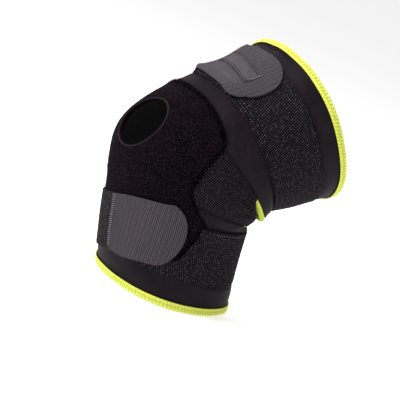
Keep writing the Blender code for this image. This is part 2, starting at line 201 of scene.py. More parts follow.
def soft(t, phi):
    """Slow unevenness that the sleeve and all that lies on it share, with the straps' bite."""
    t, phi = np.broadcast_arrays(np.asarray(t, float), np.asarray(phi, float))
    turn = phi % 360.0
    low = bite(t, turn, lower_line) * ease(78.0, 112.0, turn) * (1 - ease(225.0, 290.0, turn))
    high = bite(t, turn, upper_line) * ease(60.0, 100.0, turn) * (1 - ease(250.0, 300.0, turn))
    return 0.00030 * ripple(tube(t, phi), 0.038, 3) - 0.0024 * low - 0.0014 * high


# ---------------------------------------------------------------- how far each point turns with the knee
FAN_LOW = 0.0762
FAN_HIGH = 0.1392


def knee_share(points):
    """0 where a point stays with the calf, 1 where it goes with the thigh."""
    y = points[:, 1]
    z = points[:, 2]
    beta = np.arctan2(z + TANGENT, CREASE_R - y)
    t = SHANK + CREASE_R * beta
    t = np.where(z < -TANGENT, SHANK + z + TANGENT, t)
    along = points @ THIGH_AXIS
    t = np.where(along > TANGENT, SHANK + ARC + along - TANGENT, t)
    return ease(FAN_LOW, FAN_HIGH, t)


def points_of(obj):
    co = np.zeros(len(obj.data.vertices) * 3, np.float32)
    obj.data.vertices.foreach_get("co", co)
    return co.reshape(-1, 3).astype(float)


def across_knee(obj):
    """Bakes the piece's placement into its mesh and works out each point's share of the knee's turn, fanned about the
    crease; the shares are not kept.
    """
    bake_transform(obj)
    knee_share(points_of(obj))
    return obj


# ---------------------------------------------------------------- node materials
class Look:
    """A node material with a Principled shader and short ways to add texture nodes."""

    def __init__(self, name, roughness, sheen=0.0, sheen_tint=(1, 1, 1), specular=0.4):
        self.material = bpy.data.materials.new(name)
        self.material.use_nodes = True
        self.tree = self.material.node_tree
        self.shader = self.tree.nodes["Principled BSDF"]
        self.shader.inputs["Roughness"].default_value = roughness
        self.shader.inputs["Specular IOR Level"].default_value = specular
        self.shader.inputs["Sheen Weight"].default_value = sheen
        self.shader.inputs["Sheen Roughness"].default_value = 0.45
        self.shader.inputs["Sheen Tint"].default_value = (*sheen_tint, 1)
        self.cloth = self.node("ShaderNodeUVMap", uv_map="cloth").outputs["UV"]
        self.place = self.node("ShaderNodeTexCoord").outputs["Object"]

    def node(self, kind, **settings):
        made = self.tree.nodes.new(kind)
        for key, value in settings.items():
            setattr(made, key, value)
        return made

    def link(self, source, target):
        if hasattr(source, "links"):
            self.tree.links.new(source, target)
        else:
            target.default_value = source

    def math(self, operation, a, b=0.5):
        made = self.node("ShaderNodeMath", operation=operation)
        self.link(a, made.inputs[0])
        self.link(b, made.inputs[1])
        made.inputs[2].default_value = 0.5
        return made.outputs[0]

    def ribs(self, pitch, axis="X", warp=0.0, profile="SIN"):
        """Parallel ribs, pitch centimetres apart."""
        made = self.node("ShaderNodeTexWave", wave_type="BANDS", bands_direction=axis, wave_profile=profile)
        made.inputs["Scale"].default_value = 0.31416 / pitch
        made.inputs["Distortion"].default_value = warp
        made.inputs["Detail"].default_value = 1.0
        self.link(self.cloth, made.inputs["Vector"])
        return made.outputs["Fac"]

    def weave(self, length, width, shift):
        """Floats length by width centimetres, each row moved on by shift of a float: 0 between, 1 on top."""
        split = self.node("ShaderNodeSeparateXYZ")
        self.link(self.cloth, split.inputs[0])
        row = self.math("DIVIDE", split.outputs["Y"], width)
        step = self.math("MULTIPLY", self.math("FLOOR", row, 0.0), shift)
        along = self.math("ADD", self.math("DIVIDE", split.outputs["X"], length), step)
        wave = self.math("COSINE", self.math("MULTIPLY", along, 2 * math.pi), 0.0)
        ridge = self.math("ABSOLUTE", self.math("SINE", self.math("MULTIPLY", row, math.pi), 0.0), 0.0)
        return self.math("MULTIPLY", self.math("MULTIPLY_ADD", wave, 0.5), ridge)

    def noise(self, size, detail=3.0, on=None):
        """Cloudy noise with features of size centimetres on the cloth, or metres in the object."""
        made = self.node("ShaderNodeTexNoise")
        made.inputs["Scale"].default_value = 1.0 / size
        made.inputs["Detail"].default_value = detail
        self.link(self.cloth if on is None else on, made.inputs["Vector"])
        return made.outputs["Fac"]

    def between(self, low, high, value, lowest=0.0, highest=1.0):
        """Value stretched so that low gives lowest and high gives highest."""
        made = self.node("ShaderNodeMapRange")
        for slot, number in zip(("From Min", "From Max", "To Min", "To Max"), (low, high, lowest, highest)):
            made.inputs[slot].default_value = number
        self.link(value, made.inputs["Value"])
        return made.outputs["Result"]

    def mix(self, share, first, second):
        made = self.node("ShaderNodeMix", data_type="RGBA")
        self.link(share, made.inputs["Factor"])
        for value, slot in ((first, 6), (second, 7)):
            if isinstance(value, tuple):
                value = (*value, 1.0)
            self.link(value, made.inputs[slot])
        return made.outputs[2]

    def yarn(self):
        """The height of the modelled weave, 0 in its gaps and 1 on its yarns."""
        return self.node("ShaderNodeAttribute", attribute_name="yarn").outputs["Fac"]

    def done(self, colour, height=None, depth=0.0001, roughness=None, strength=0.7):
        self.link(colour, self.shader.inputs["Base Color"])
        if roughness is not None:
            self.link(roughness, self.shader.inputs["Roughness"])
        if height is not None:
            bump = self.node("ShaderNodeBump")
            bump.inputs["Strength"].default_value = strength
            bump.inputs["Distance"].default_value = depth
            self.link(height, bump.inputs["Height"])
            self.link(bump.outputs["Normal"], self.shader.inputs["Normal"])
        return self.material


def jersey_look(name, dark, light):
    """Smooth nylon jersey laminated to neoprene: a fine knit with soft clouds of wear and a little lint."""
    look = Look(name, 0.55, sheen=0.006, sheen_tint=(0.85, 0.72, 0.88), specular=0.04)
    knit = look.weave(0.075, 0.050, 0.5)
    cloud = look.between(0.35, 0.68, look.noise(2.6, 4.0))
    lint = look.between(0.68, 0.74, look.noise(0.11, 1.0))
    tone = look.math("ADD", look.math("MULTIPLY", knit, 0.45), look.math("MULTIPLY", cloud, 0.55))
    colour = look.mix(tone, dark, light)
    colour = look.mix(look.math("MULTIPLY", lint, 0.06), colour, (0.16, 0.14, 0.16))
    rough = look.between(0.0, 1.0, cloud, 0.48, 0.60)
    return look.done(colour, look.math("ADD", knit, look.noise(0.30, 2.0)), 0.00008, rough)


def plush_look():
    """Brushed loop pile, near black, with faint painted purple highlights where the tufts turn."""
    look = Look("plush_loop_pile", 1.0, sheen=0.010, sheen_tint=(0.62, 0.50, 0.66), specular=0.02)
    tufts = look.noise(0.10, 4.0)
    cloud = look.between(0.38, 0.64, look.noise(1.1, 3.0))
    # Painted purple highlight where the tufts turn, in small specks.
    glint_specks = look.between(0.52, 0.68, look.noise(0.12, 2.0))
    colour = look.mix(cloud, (0.0010, 0.0006, 0.0009), (0.0030, 0.0018, 0.0027))
    colour = look.mix(look.math("MULTIPLY", glint_specks, 0.75), colour, (0.024, 0.0150, 0.0225))
    return look.done(colour, tufts, 0.0006, strength=1.0)


def pile_look(name, lit):
    look = Look(name, 0.9, sheen=0.006, sheen_tint=(0.62, 0.50, 0.66), specular=0.02)
    tone = look.noise(0.0013, 1.0, look.place)
    colour = look.mix(look.between(0.50, 0.64, tone), (0.0009, 0.0006, 0.0008), lit)
    return look.done(colour, None)


def yarn_look(name, gap, thread, roughness, glint_specks=0.30):
    """Coarse woven or knitted cloth: its yarns are modelled, and their fibres are in the material. Its colour has
    painted shade in the gaps between yarns, painted highlight on the yarn tops, and painted glints.
    """
    look = Look(name, roughness, sheen=0.005, sheen_tint=(0.85, 0.76, 0.86), specular=0.05)
    twist = look.ribs(0.030, "DIAGONAL", warp=1.5)
    lift = look.between(0.30, 0.95, look.yarn())
    # Cloudy patches where the painted highlight on the yarn tops is stronger.
    top_highlight_patches = look.between(0.42, 0.66, look.noise(0.9, 4.0))
    # Painted shade and highlight: the gap colour lies in the hollows between yarns, the thread colour on their tops.
    colour = look.mix(lift, gap, thread)
    # More painted highlight on the yarn tops, in cloudy patches.
    colour = look.mix(look.math("MULTIPLY", look.math("MULTIPLY", lift, top_highlight_patches), 0.35), colour, (0.050, 0.044, 0.052))
    # Painted glints on the yarn tops, in small specks.
    glint = look.between(0.50, 0.64, look.noise(0.22, 1.0))
    glint = look.math("MULTIPLY", look.math("MULTIPLY", glint, lift), glint_specks)
    colour = look.mix(glint, colour, (0.30, 0.27, 0.31))
    height = look.math("ADD", look.math("MULTIPLY", twist, 0.5), look.noise(0.05, 2.0))
    return look.done(colour, height, 0.00008, look.between(0.0, 1.0, lift, 0.85, roughness))


def twill_look():
    """Grey canvas face of the hook tabs, in short staggered floats, with painted shade where each tab starts at its
    webbing.
    """
    look = Look("tab_twill", 0.66, sheen=0.012, sheen_tint=(0.9, 0.84, 0.92), specular=0.06)
    weave = look.weave(0.17, 0.105, 0.36)
    cloud = look.between(0.35, 0.68, look.noise(1.6, 4.0))
    colour = look.mix(look.between(0.0, 0.80, weave), (0.013, 0.0104, 0.0132), (0.084, 0.0703, 0.0850))
    colour = look.mix(look.math("MULTIPLY", cloud, 0.25), colour, (0.040, 0.033, 0.041))
    band = look.between(0.3, 0.8, look.ribs(0.42, "X", warp=2.5))
    colour = look.mix(look.math("MULTIPLY", band, 0.12), colour, (0.105, 0.090, 0.107))
    speck = look.between(0.58, 0.70, look.noise(0.13, 1.0))
    colour = look.mix(look.math("MULTIPLY", speck, 0.42), colour, (0.015, 0.0122, 0.0152))
    split = look.node("ShaderNodeSeparateXYZ")
    look.link(look.cloth, split.inputs[0])
    # Painted shade: the tab is darker over its first few centimetres from the webbing.
    painted_shade_near_root = look.between(0.4, 3.4, split.outputs["X"], 0.30, 0.0)
    colour = look.mix(painted_shade_near_root, colour, (0.0075, 0.0058, 0.0074))
    # Painted shade: near black where the tab starts at its webbing.
    root = look.between(0.12, 0.55, split.outputs["X"])
    colour = look.mix(root, (0.0075, 0.0058, 0.0074), colour)
    return look.done(colour, weave, 0.00018, strength=0.9)


def tape_look():
    """Lime elastic tape, with painted highlight on its puffs and painted shade in the hollows of its seam."""
    look = Look("edge_tape_lime", 0.60, sheen=0.04, sheen_tint=(0.9, 1.0, 0.5), specular=0.2)
    grain = look.weave(0.060, 0.040, 0.5)
    # Painted shade and highlight: dark lime in the hollows and stitch dimples, light lime on the puffs, as the yarn
    # attribute gives them.
    colour = look.mix(look.between(0.05, 0.80, look.yarn()), (0.10, 0.16, 0.002), (0.62, 0.665, 0.075))
    cloud = look.between(0.35, 0.65, look.noise(0.7, 3.0))
    colour = look.mix(look.math("MULTIPLY", cloud, 0.18), colour, (0.76, 0.79, 0.17))
    colour = look.mix(look.math("MULTIPLY", grain, 0.14), colour, (0.52, 0.58, 0.03))
    return look.done(colour, grain, 0.00008)


def thread_look(name, rgb, shade):
    look = Look(name, 0.6, specular=0.2)
    tone = look.noise(0.0012, 2.0, look.place)
    colour = look.mix(look.between(0.35, 0.65, tone), tuple(c * shade for c in rgb), rgb)
    return look.done(colour, look.noise(0.0004, 1.0, look.place), 0.00004)


def label_look():
    """Blank label in a close satin weave."""
    look = Look("label_satin", 0.60, specular=0.07)
    satin_weave = look.weave(0.14, 0.035, 0.4)
    cloud = look.between(0.35, 0.68, look.noise(1.2, 3.0))
    tone = look.math("ADD", look.math("MULTIPLY", satin_weave, 0.6), look.math("MULTIPLY", cloud, 0.4))
    colour = look.mix(tone, (0.034, 0.0285, 0.0345), (0.078, 0.066, 0.079))
    return look.done(colour, satin_weave, 0.00006, look.between(0.0, 1.0, satin_weave, 0.64, 0.54))


def hook_look():
    look = Look("hook_tape", 0.42, specular=0.3)
    colour = look.mix(look.noise(0.10, 2.0), (0.008, 0.007, 0.009), (0.022, 0.020, 0.024))
    return look.done(colour, look.noise(0.06, 1.0), 0.00005)


jersey = jersey_look("neoprene_jersey", (0.0058, 0.0039, 0.0055), (0.0165, 0.0113, 0.0155))
lining = jersey_look("neoprene_lining", (0.014, 0.012, 0.014), (0.030, 0.026, 0.031))
plush = plush_look()
pile = pile_look("plush_fibre", (0.066, 0.043, 0.062))
fringe = pile_look("plush_fringe", (0.020, 0.0125, 0.0185))
# Each first colour is the painted shade between the yarns, the second the yarns' own colour; the last number sets the
# strength of the painted glints.
knit_cloth = yarn_look("elastic_knit", (0.0014, 0.0009, 0.0013), (0.024, 0.0175, 0.0230), 0.62, 0.16)
web_cloth = yarn_look("elastic_webbing", (0.0012, 0.0008, 0.0011), (0.026, 0.0185, 0.0240), 0.60, 0.24)
twill = twill_look()
tape = tape_look()
satin = label_look()
hook_plastic = hook_look()
dark_thread = thread_look("thread_black", (0.0035, 0.0027, 0.0035), 0.35)
grey_thread = thread_look("thread_grey", (0.085, 0.074, 0.086), 0.45)
pale_thread = thread_look("thread_pale", (0.36, 0.33, 0.37), 0.55)
lime_thread = thread_look("thread_lime", (0.86, 0.88, 0.26), 0.85)


# ---------------------------------------------------------------- mesh helpers
def new_piece(name, points, faces, materials, cloth=None, yarn=None, slots=None):
    """Mesh object from points and faces. cloth is the map, a pair for each face corner."""
    mesh = bpy.data.meshes.new(name)
    mesh.from_pydata(points, [], faces)
    for one in materials:
        mesh.materials.append(one)
    if slots is not None:
        mesh.polygons.foreach_set("material_index", np.asarray(slots, np.int32))
    layer = mesh.uv_layers.new(name="cloth")
    if cloth is not None:
        layer.data.foreach_set("uv", np.asarray(cloth, np.float32).ravel())
    if yarn is not None:
        mesh.attributes.new("yarn", "FLOAT", "POINT").data.foreach_set("value", np.asarray(yarn, np.float32))
    mesh.shade_smooth()
    obj = bpy.data.objects.new(name, mesh)
    bpy.context.scene.collection.objects.link(obj)
    return obj


def grid_faces(rows, columns, wrap=False):
    """Corner numbers of a grid's faces, and of the same faces in a map one column wider."""
    i = np.arange(rows - 1)[:, None]
    j = np.arange(columns if wrap else columns - 1)[None, :]
    after = (j + 1) % columns
    faces = np.stack(
        [i * columns + j, i * columns + after, (i + 1) * columns + after, (i + 1) * columns + j], -1
    ).reshape(-1, 4)
    wide = columns + 1 if wrap else columns
    maps = np.stack([i * wide + j, i * wide + j + 1, (i + 1) * wide + j + 1, (i + 1) * wide + j], -1)
    return faces, maps.reshape(-1, 4)


def open_edges(faces):
    """Directed edges used by one face only."""
    ends = np.concatenate([np.stack([faces[:, k], faces[:, (k + 1) % 4]], -1) for k in range(4)])
    least = np.sort(ends, axis=1)
    _, first, count = np.unique(least, axis=0, return_index=True, return_counts=True)
    return ends[first[count == 1]]


def grid_map(points, wrap=False):
    """Centimetres of cloth at each grid point: across from the middle column, and up from the first row."""
    if wrap:
        points = np.concatenate([points, points[:, :1]], axis=1)
    steps = np.linalg.norm(np.diff(points, axis=1), axis=-1)
    across = np.concatenate([np.zeros((len(points), 1)), np.cumsum(steps, axis=1)], axis=1)
    across -= across[:, across.shape[1] // 2, None]
    steps = np.linalg.norm(np.diff(points, axis=0), axis=-1)
    up = np.concatenate([np.zeros((1, points.shape[1])), np.cumsum(steps, axis=0)], axis=0)
    return np.stack([across, up], -1) * 100.0


def seam_gap(points, seams):
    """Distance of each grid point from the chosen sides: l and h the first and last row, s and e the columns."""
    gap = np.full(points.shape[:2], 1.0)
    steps = np.linalg.norm(np.diff(points, axis=0), axis=-1)
    up = np.concatenate([np.zeros((1, points.shape[1])), np.cumsum(steps, axis=0)], axis=0)
    if "l" in seams:
        gap = np.minimum(gap, up)
    if "h" in seams:
        gap = np.minimum(gap, up[-1] - up)
    if "s" in seams or "e" in seams:
        steps = np.linalg.norm(np.diff(points, axis=1), axis=-1)
        over = np.concatenate([np.zeros((len(points), 1)), np.cumsum(steps, axis=1)], axis=1)
        if "s" in seams:
            gap = np.minimum(gap, over)
        if "e" in seams:
            gap = np.minimum(gap, over[:, -1:] - over)
    return gap


def rolled(gap, radius, depth):
    """How far a soft edge falls away within radius of a seam."""
    x = np.clip(1 - gap / radius, 0.0, 1.0)
    return -depth * (1 - np.sqrt(np.maximum(1 - x * x, 0.0)))


def closed_skin(name, outer, inner, faces, maps, cloth, materials, yarn=None):
    """Cloth with two faces and a turned edge between them."""
    used, packed = np.unique(faces, return_inverse=True)
    faces = packed.reshape(-1, 4)
    outer = outer[used]
    inner = inner[used]
    count = len(outer)
    rim = open_edges(faces)
    back = faces[:, ::-1] + count
    bridge = np.stack([rim[:, 1], rim[:, 0], rim[:, 0] + count, rim[:, 1] + count], -1)
    corner_map = np.zeros((count, 2))
    corner_map[faces.ravel()] = cloth[maps.ravel()]
    all_faces = np.concatenate([faces, back, bridge])
    uv = np.concatenate([cloth[maps.ravel()], cloth[maps[:, ::-1].ravel()], corner_map[bridge.ravel() % count]])
    slots = np.concatenate([np.zeros(len(faces)), np.ones(len(back)), np.zeros(len(bridge))])
    both = None if yarn is None else np.concatenate([yarn[used], np.full(count, 0.5)])
    points = np.concatenate([outer, inner])
    made = new_piece(name, points, all_faces, materials, uv, both, slots)
    made.data.set_sharp_from_angle(angle=math.radians(70))
    return made


def shares(count, edge=(True, True)):
    """Places from 0 to 1, with more of them by a seam."""
    extra = np.array([0.0016, 0.0045, 0.0085, 0.014, 0.021])
    places = np.linspace(0.0, 1.0, count)
    parts = [places]
    if edge[0]:
        parts.append(extra)
    if edge[1]:
        parts.append(1 - extra)
    return np.unique(np.concatenate(parts))


def tube_threads(name, paths, radius, material, sides=6):
    """Closed threads through paths, an array of (thread, point, xyz)."""
    paths = np.asarray(paths, float)
    count, steps, _ = paths.shape
    way = np.gradient(paths, axis=1)
    way /= np.maximum(np.linalg.norm(way, axis=-1, keepdims=True), 1e-12)
    lead = np.zeros_like(way)
    least = np.abs(way.mean(axis=1)).argmin(axis=1)
    lead[np.arange(count), :, least] = 1.0
    one = np.cross(way, lead)
    one /= np.linalg.norm(one, axis=-1, keepdims=True)
    two = np.cross(way, one)
    angle = 2 * math.pi * np.arange(sides) / sides
    taper = np.sin(math.pi * np.clip((np.arange(steps) + 0.6) / (steps + 0.2), 0, 1)) ** 0.25
    ring = np.cos(angle)[None, None, :, None] * one[:, :, None] + np.sin(angle)[None, None, :, None] * two[:, :, None]
    points = paths[:, :, None] + ring * (radius * taper)[None, :, None, None]
    base = (np.arange(count) * steps * sides)[:, None, None]
    i = np.arange(steps - 1)[None, :, None] * sides
    j = np.arange(sides)[None, None, :]
    k = (j + 1) % sides
    quads = np.stack(np.broadcast_arrays(base + i + j, base + i + k, base + i + sides + k, base + i + sides + j), -1)
    quads = quads.reshape(-1, 4)
    first = (np.arange(count)[:, None] * steps * sides + np.arange(sides)[None, ::-1]).tolist()
    last = (np.arange(count)[:, None] * steps * sides + (steps - 1) * sides + np.arange(sides)[None, :]).tolist()
    faces = quads.tolist() + first + last
    corners = sum(len(f) for f in faces)
    return new_piece(name, points.reshape(-1, 3), faces, [material], np.zeros((corners, 2)))


def stitches(name, ends, off, radius, material, rise=0.0004, sink=0.0006, steps=7):
    """Threads from ends (thread, two ends, t and phi), arching over cloth at off and dipping into it."""
    ends = np.asarray(ends, float)
    u = np.linspace(0.0, 1.0, steps)
    place = ends[:, 0, None] * (1 - u)[None, :, None] + ends[:, 1, None] * u[None, :, None]
    t = place[..., 0]
    phi = place[..., 1]
    height = off(t, phi) + soft(t, phi) + rise * np.sin(math.pi * u) ** 0.6 - sink * (1 - np.sin(math.pi * u) ** 0.6)
    return tube_threads(name, tube(t, phi, height), radius, material)


# ---------------------------------------------------------------- seam lines shared by the panels
def panel_angle(t):
    """Half width of the front panel at t, in degrees."""
    narrowing = 11.0 * (1 - ease(0.036, 0.078, t) ** 0.9)
    wide = PANEL_LOW_ANGLE - narrowing + (PANEL_HIGH_ANGLE - PANEL_LOW_ANGLE) * ease(0.0755, 0.0985, t)
    below = np.maximum(PANEL_LOW + 0.011 - t, 0.0) / 0.011
    above = np.maximum(t - PANEL_HIGH + 0.0125, 0.0) / 0.0125
    wide = wide * np.maximum(1 - below ** 2.6, 0.0) ** (1 / 2.2)
    return wide * np.maximum(1 - above ** 2.4, 0.0) ** (1 / 2.4)


def smooth_curve(knots, steps):
    """Catmull-Rom line through (t, phi) knots."""
    knots = np.array(knots, float)
    padded = np.concatenate([knots[:1], knots, knots[-1:]])
    points = []
    for k in range(1, len(padded) - 2):
        p0, p1, p2, p3 = padded[k - 1 : k + 3]
        for u in np.arange(steps) / steps:
            bend = (2 * p0 - 5 * p1 + 4 * p2 - p3) * u * u + (3 * p1 - p0 - 3 * p2 + p3) * u ** 3
            points.append(0.5 * (2 * p1 + (p2 - p0) * u + bend))
    points.append(knots[-1])
    return np.array(points)


def evenly(line, count):
    """count points evenly spread along a (t, phi) line."""
    size = np.hypot(np.diff(line[:, 0]), np.diff(line[:, 1]) / 900.0)
    place = np.concatenate([[0.0], np.cumsum(size)])
    at = np.linspace(0.0, place[-1], count)
    return np.stack([np.interp(at, place, line[:, 0]), np.interp(at, place, line[:, 1])], -1)


LOWER_EDGE = smooth_curve(
    [(0.0845, 113.0), (0.0795, 121.0), (0.0780, 132.0), (0.0780, 147.0), (0.0785, 164.0), (0.079, 180.0)], 7
)
END_EDGE = smooth_curve(
    [(0.0845, 113.0), (0.092, 109.5), (0.101, 104.5), (0.1095, 98.5), (0.1165, 96.5), (0.1195, 100.5)], 8
)
UPPER_EDGE = smooth_curve(
    [(0.1195, 100.5), (0.1175, 110.0), (0.1125, 121.0), (0.1090, 132.0), (0.1110, 145.0), (0.1165, 158.0),
     (0.1210, 170.0), (0.1225, 180.0)],
    8,
)
low_t = PANEL_LOW + 0.0003 + 0.0197 * (1 - np.cos(np.radians(90 * np.arange(25) / 24)))
side_low = np.concatenate([low_t, np.linspace(low_t[-1], GUSSET_LOW, 34)[1:]])
high_t = GUSSET_HIGH + (PANEL_HIGH - 0.0003 - GUSSET_HIGH) * np.sin(np.radians(90 * np.arange(21) / 20))
side_mid = np.linspace(GUSSET_LOW, GUSSET_HIGH, 33)
PANEL_SIDE_LOW = np.stack([side_low, panel_angle(side_low)], -1)
PANEL_SIDE_MID = np.stack([side_mid, panel_angle(side_mid)], -1)
PANEL_SIDE_HIGH = np.stack([high_t, panel_angle(high_t)], -1)
u = np.linspace(0.0, 1.0, 41)[:, None]
GUSSET_LOW_LINE = PANEL_SIDE_LOW[-1] * (1 - u) + np.array([0.0845, 113.0]) * u ** 1.0
GUSSET_HIGH_LINE = np.concatenate(
    [
        PANEL_SIDE_HIGH[0, :1] + (0.1195 - PANEL_SIDE_HIGH[0, 0]) * u ** 1.6,
        PANEL_SIDE_HIGH[0, 1] + (100.5 - PANEL_SIDE_HIGH[0, 1]) * u,
    ],
    axis=1,
)


def front_run(end, count):
    """From the middle of the front to the panel's side at its lower or upper end."""
    return np.stack([np.full(count, end[0]), end[1] * np.arange(count) / count], -1)


def both_sides(half):
    """From the back's middle, round the left side and the front, to just short of the back's middle again."""
    left = half[::-1].copy()
    left[:, 1] *= -1
    return np.concatenate([left[:-1], half[:-1]])


# ---------------------------------------------------------------- sleeves
def hood(t, far):
    """The thigh's band hangs out over the crease at the corner of the opening."""
    return 0.0065 * ease(0.094, 0.105, t) * (1 - ease(0.111, 0.141, t)) * bell(far, 129.0, 20.0)


def band_swell(t, phi):
    """The plain bands beside the knee stand a little proud between strap and gusset."""
    far = side_angle(phi)
    low = 0.0013 * bell(t, 0.0830, 0.0045) * ease(58.0, 80.0, far)
    high = 0.0021 * bell(t, 0.1300, 0.0068) * ease(18.0, 52.0, far)
    corner = 0.0016 * bell(t, 0.0795, 0.0035) * bell(far, 124.0, 12.0)
    rim_low = 0.0005 * bell(t, 0.0150, 0.0060)
    rim_high = 0.0005 * bell(t, 0.1970, 0.0045)
    return low + high + corner + rim_low + rim_high + hood(t, far)


def creases(t, phi):
    """Fine slanting wrinkles where the plain band turns over the side of the knee."""
    far = side_angle(phi)
    where = bell(t, 0.1300, 0.0070) * bell(far, 60.0, 22.0)
    wave = np.sin(2 * math.pi * (t * 180.0 + far / 11.0) + 1.4 * np.sin(far / 9.0))
    behind = bell(t, 0.0835, 0.0045) * bell(far, 112.0, 26.0)
    slow = np.sin(2 * math.pi * (far / 17.0 - t * 60.0))
    return 0.00036 * where * wave + 0.00034 * behind * slow


def sleeve(name, edge, rim_t, low_end, rows, node):
    """A sleeve between its edge line at the knee and its rim."""
    half = edge
    ring = both_sides(half)
    far = np.full((len(ring), 2), rim_t)
    size = np.hypot(np.diff(half[:, 0]), np.radians(np.diff(half[:, 1])) * 0.064)
    place = np.concatenate([[0.0], np.cumsum(size)])
    spread = 180.0 * place / place[-1]
    half_far = np.stack([np.full(len(half), rim_t), 0.35 * spread + 0.65 * half[:, 1]], -1)
    far = both_sides(half_far)
    v = shares(rows, (not low_end, low_end))[:, None, None]
    low, high = (far, ring) if low_end else (ring, far)
    places = low[None] * (1 - v) + high[None] * v
    t = places[..., 0]
    phi = places[..., 1]
    base = tube(t, phi)
    closed = np.concatenate([base, base[:, :1]], axis=1)
    gap = seam_gap(base, "h" if low_end else "l")
    lift = soft(t, phi) + band_swell(t, phi) + creases(t, phi)
    outer = tube(t, phi, lift + rolled(gap, 0.0016, 0.0014))
    inner = tube(t, phi, soft(t, phi) - NEOPRENE - rolled(gap, 0.0012, 0.0008))
    faces, maps = grid_faces(*t.shape, wrap=True)
    cloth = grid_map(base, wrap=True).reshape(-1, 2)
    del closed
    made = closed_skin(
        name, outer.reshape(-1, 3), inner.reshape(-1, 3), faces, maps, cloth, [jersey, lining]
    )
    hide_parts(node)
    return across_knee(made)


calf_half = np.concatenate(
    [front_run(PANEL_SIDE_LOW[0], 14), PANEL_SIDE_LOW, evenly(GUSSET_LOW_LINE, 40)[1:], evenly(LOWER_EDGE, 56)[1:]]
)
thigh_half = np.concatenate(
    [
        front_run(PANEL_SIDE_HIGH[-1], 14),
        PANEL_SIDE_HIGH[::-1],
        evenly(GUSSET_HIGH_LINE, 48)[1:],
        evenly(UPPER_EDGE, 60)[1:],
    ]
)
sleeve("calf_sleeve_cloth", calf_half, 0.0024, True, 64, "calf_sleeve")
sleeve("thigh_sleeve_cloth", thigh_half, LENGTH - 0.0026, False, 64, "thigh_sleeve")

# ---------------------------------------------------------------- front panel and its pile
hole_centre = tube(HOLE_T, 0.0)
hole_axis = outward(HOLE_T, 0.0)
hole_side = np.array([1.0, 0.0, 0.0])
hole_up = np.cross(hole_axis, hole_side)


def from_hole(points):
    """Distance of points from the patella hole's axis, and the unit direction away from it."""
    flat = points - hole_centre
    flat = flat - hole_axis * (flat @ hole_axis)[..., None]
    reach = np.linalg.norm(flat, axis=-1)
    return reach, flat / np.maximum(reach, 1e-9)[..., None]


PLUSH_PROUD = 0.0007


def plush_height(t, phi):
    """Height of the pile cloth over the tube, with the tongue's raised lower corners."""
    far = side_angle(phi)
    tongue = 0.0012 * bell(t, 0.0865, 0.0075) * ease(54.0, 70.0, far)
    dent = -0.0006 * bell(t, 0.1000, 0.0060) * bell(far, 50.0, 9.0)
    return soft(t, phi) + PLUSH_PROUD + tongue + dent


def front_panel():
    t_rows = np.concatenate([side_low, side_mid[1:], high_t[1:]])
    size = np.concatenate([[0.0], np.cumsum(np.linalg.norm(np.diff(tube(t_rows, 0.0), axis=0), axis=-1))])
    v = shares(132)
    at = np.interp(v * size[-1], size, t_rows)
    at[0] += 0.0002
    at[-1] -= 0.0002
    u = 2 * shares(150) - 1
    wide = panel_angle(at) * 0.9935
    t = np.repeat(at[:, None], len(u), axis=1)
    phi = wide[:, None] * u[None, :]
    base = tube(t, phi)
    reach, away = from_hole(base)
    gap = seam_gap(base, "lhse")
    gap = np.minimum(gap, np.maximum(reach - HOLE_R, 0.0) + 0.00001)
    height = plush_height(t, phi) + rolled(gap, 0.0017, 0.0015)
    outer = tube(t, phi, height).reshape(-1, 3)
    inner = tube(t, phi, soft(t, phi) - NEOPRENE).reshape(-1, 3)
    faces, maps = grid_faces(*t.shape)
    keep = reach.ravel() >= HOLE_R
    whole = keep[faces].all(axis=1)
    faces = faces[whole]
    maps = maps[whole]
    rim = np.unique(open_edges(faces))
    reach = reach.ravel()
    away = away.reshape(-1, 3)
    snap = rim[reach[rim] < HOLE_R + 0.0022]
    shift = away[snap] * (HOLE_R - reach[snap])[:, None]
    outer[snap] += shift
    inner[snap] += shift
    cloth = grid_map(base).reshape(-1, 2)
    made = closed_skin("front_panel_plush", outer, inner, faces, maps, cloth, [plush, lining])
    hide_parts("front_plush_panel")
    return across_knee(made)


def fibres(name, t, phi, height, length, width, lean, seed, material, inwards=False):
    """Short fibres standing on the cloth at (t, phi); lean is a direction added to each."""
    rng = np.random.RandomState(seed)
    foot = tube(t, phi, height)
    normal = -outward(t, phi) if inwards else outward(t, phi)
    way = normal + lean + rng.normal(scale=0.38, size=foot.shape)
    way /= np.linalg.norm(way, axis=-1, keepdims=True)
    tip = foot + way * (length * rng.uniform(0.55, 1.25, len(foot)))[:, None]
    foot = foot - way * 0.0003
    side = np.cross(way, rng.normal(size=foot.shape))
    side /= np.linalg.norm(side, axis=-1, keepdims=True)
    other = np.cross(way, side)
    ring = [foot + width * (math.cos(a) * side + math.sin(a) * other) for a in (0.0, 2.0944, 4.1888)]
    points = np.stack([*ring, tip], axis=1).reshape(-1, 3)
    base = 4 * np.arange(len(foot))[:, None]
    faces = np.concatenate([base + np.array(f) for f in ((0, 1, 3), (1, 2, 3), (2, 0, 3), (2, 1, 0))])
    return new_piece(name, points, faces, [material], np.zeros((3 * len(faces), 2)))


def plush_fibres(*settings):
    made = fibres(*settings)
    return across_knee(made)


def pile_coat(count):
    rng = np.random.RandomState(11)
    t = rng.uniform(PANEL_LOW, PANEL_HIGH, count * 3)
    share = np.clip(t, SHANK, SHANK + ARC) - SHANK
    stretch = np.where((t > SHANK) & (t < SHANK + ARC), 1.0 + 0.073 / CREASE_R, 1.0)
    wide = panel_angle(t) * 0.985
    phi = rng.uniform(-PANEL_LOW_ANGLE, PANEL_LOW_ANGLE, len(t))
    keep = (np.abs(phi) < wide) & (rng.uniform(0, 2.15, len(t)) < stretch) & (share >= 0)
    t = t[keep]
    phi = phi[keep]
    reach, _ = from_hole(tube(t, phi))
    keep = reach > HOLE_R + 0.0008
    t = t[keep][:count]
    phi = phi[keep][:count]
    nap = np.array([0.0, 0.0, -0.35])
    return plush_fibres("front_panel_pile", t, phi, plush_height(t, phi), 0.00080, 0.00010, nap, 12, pile)


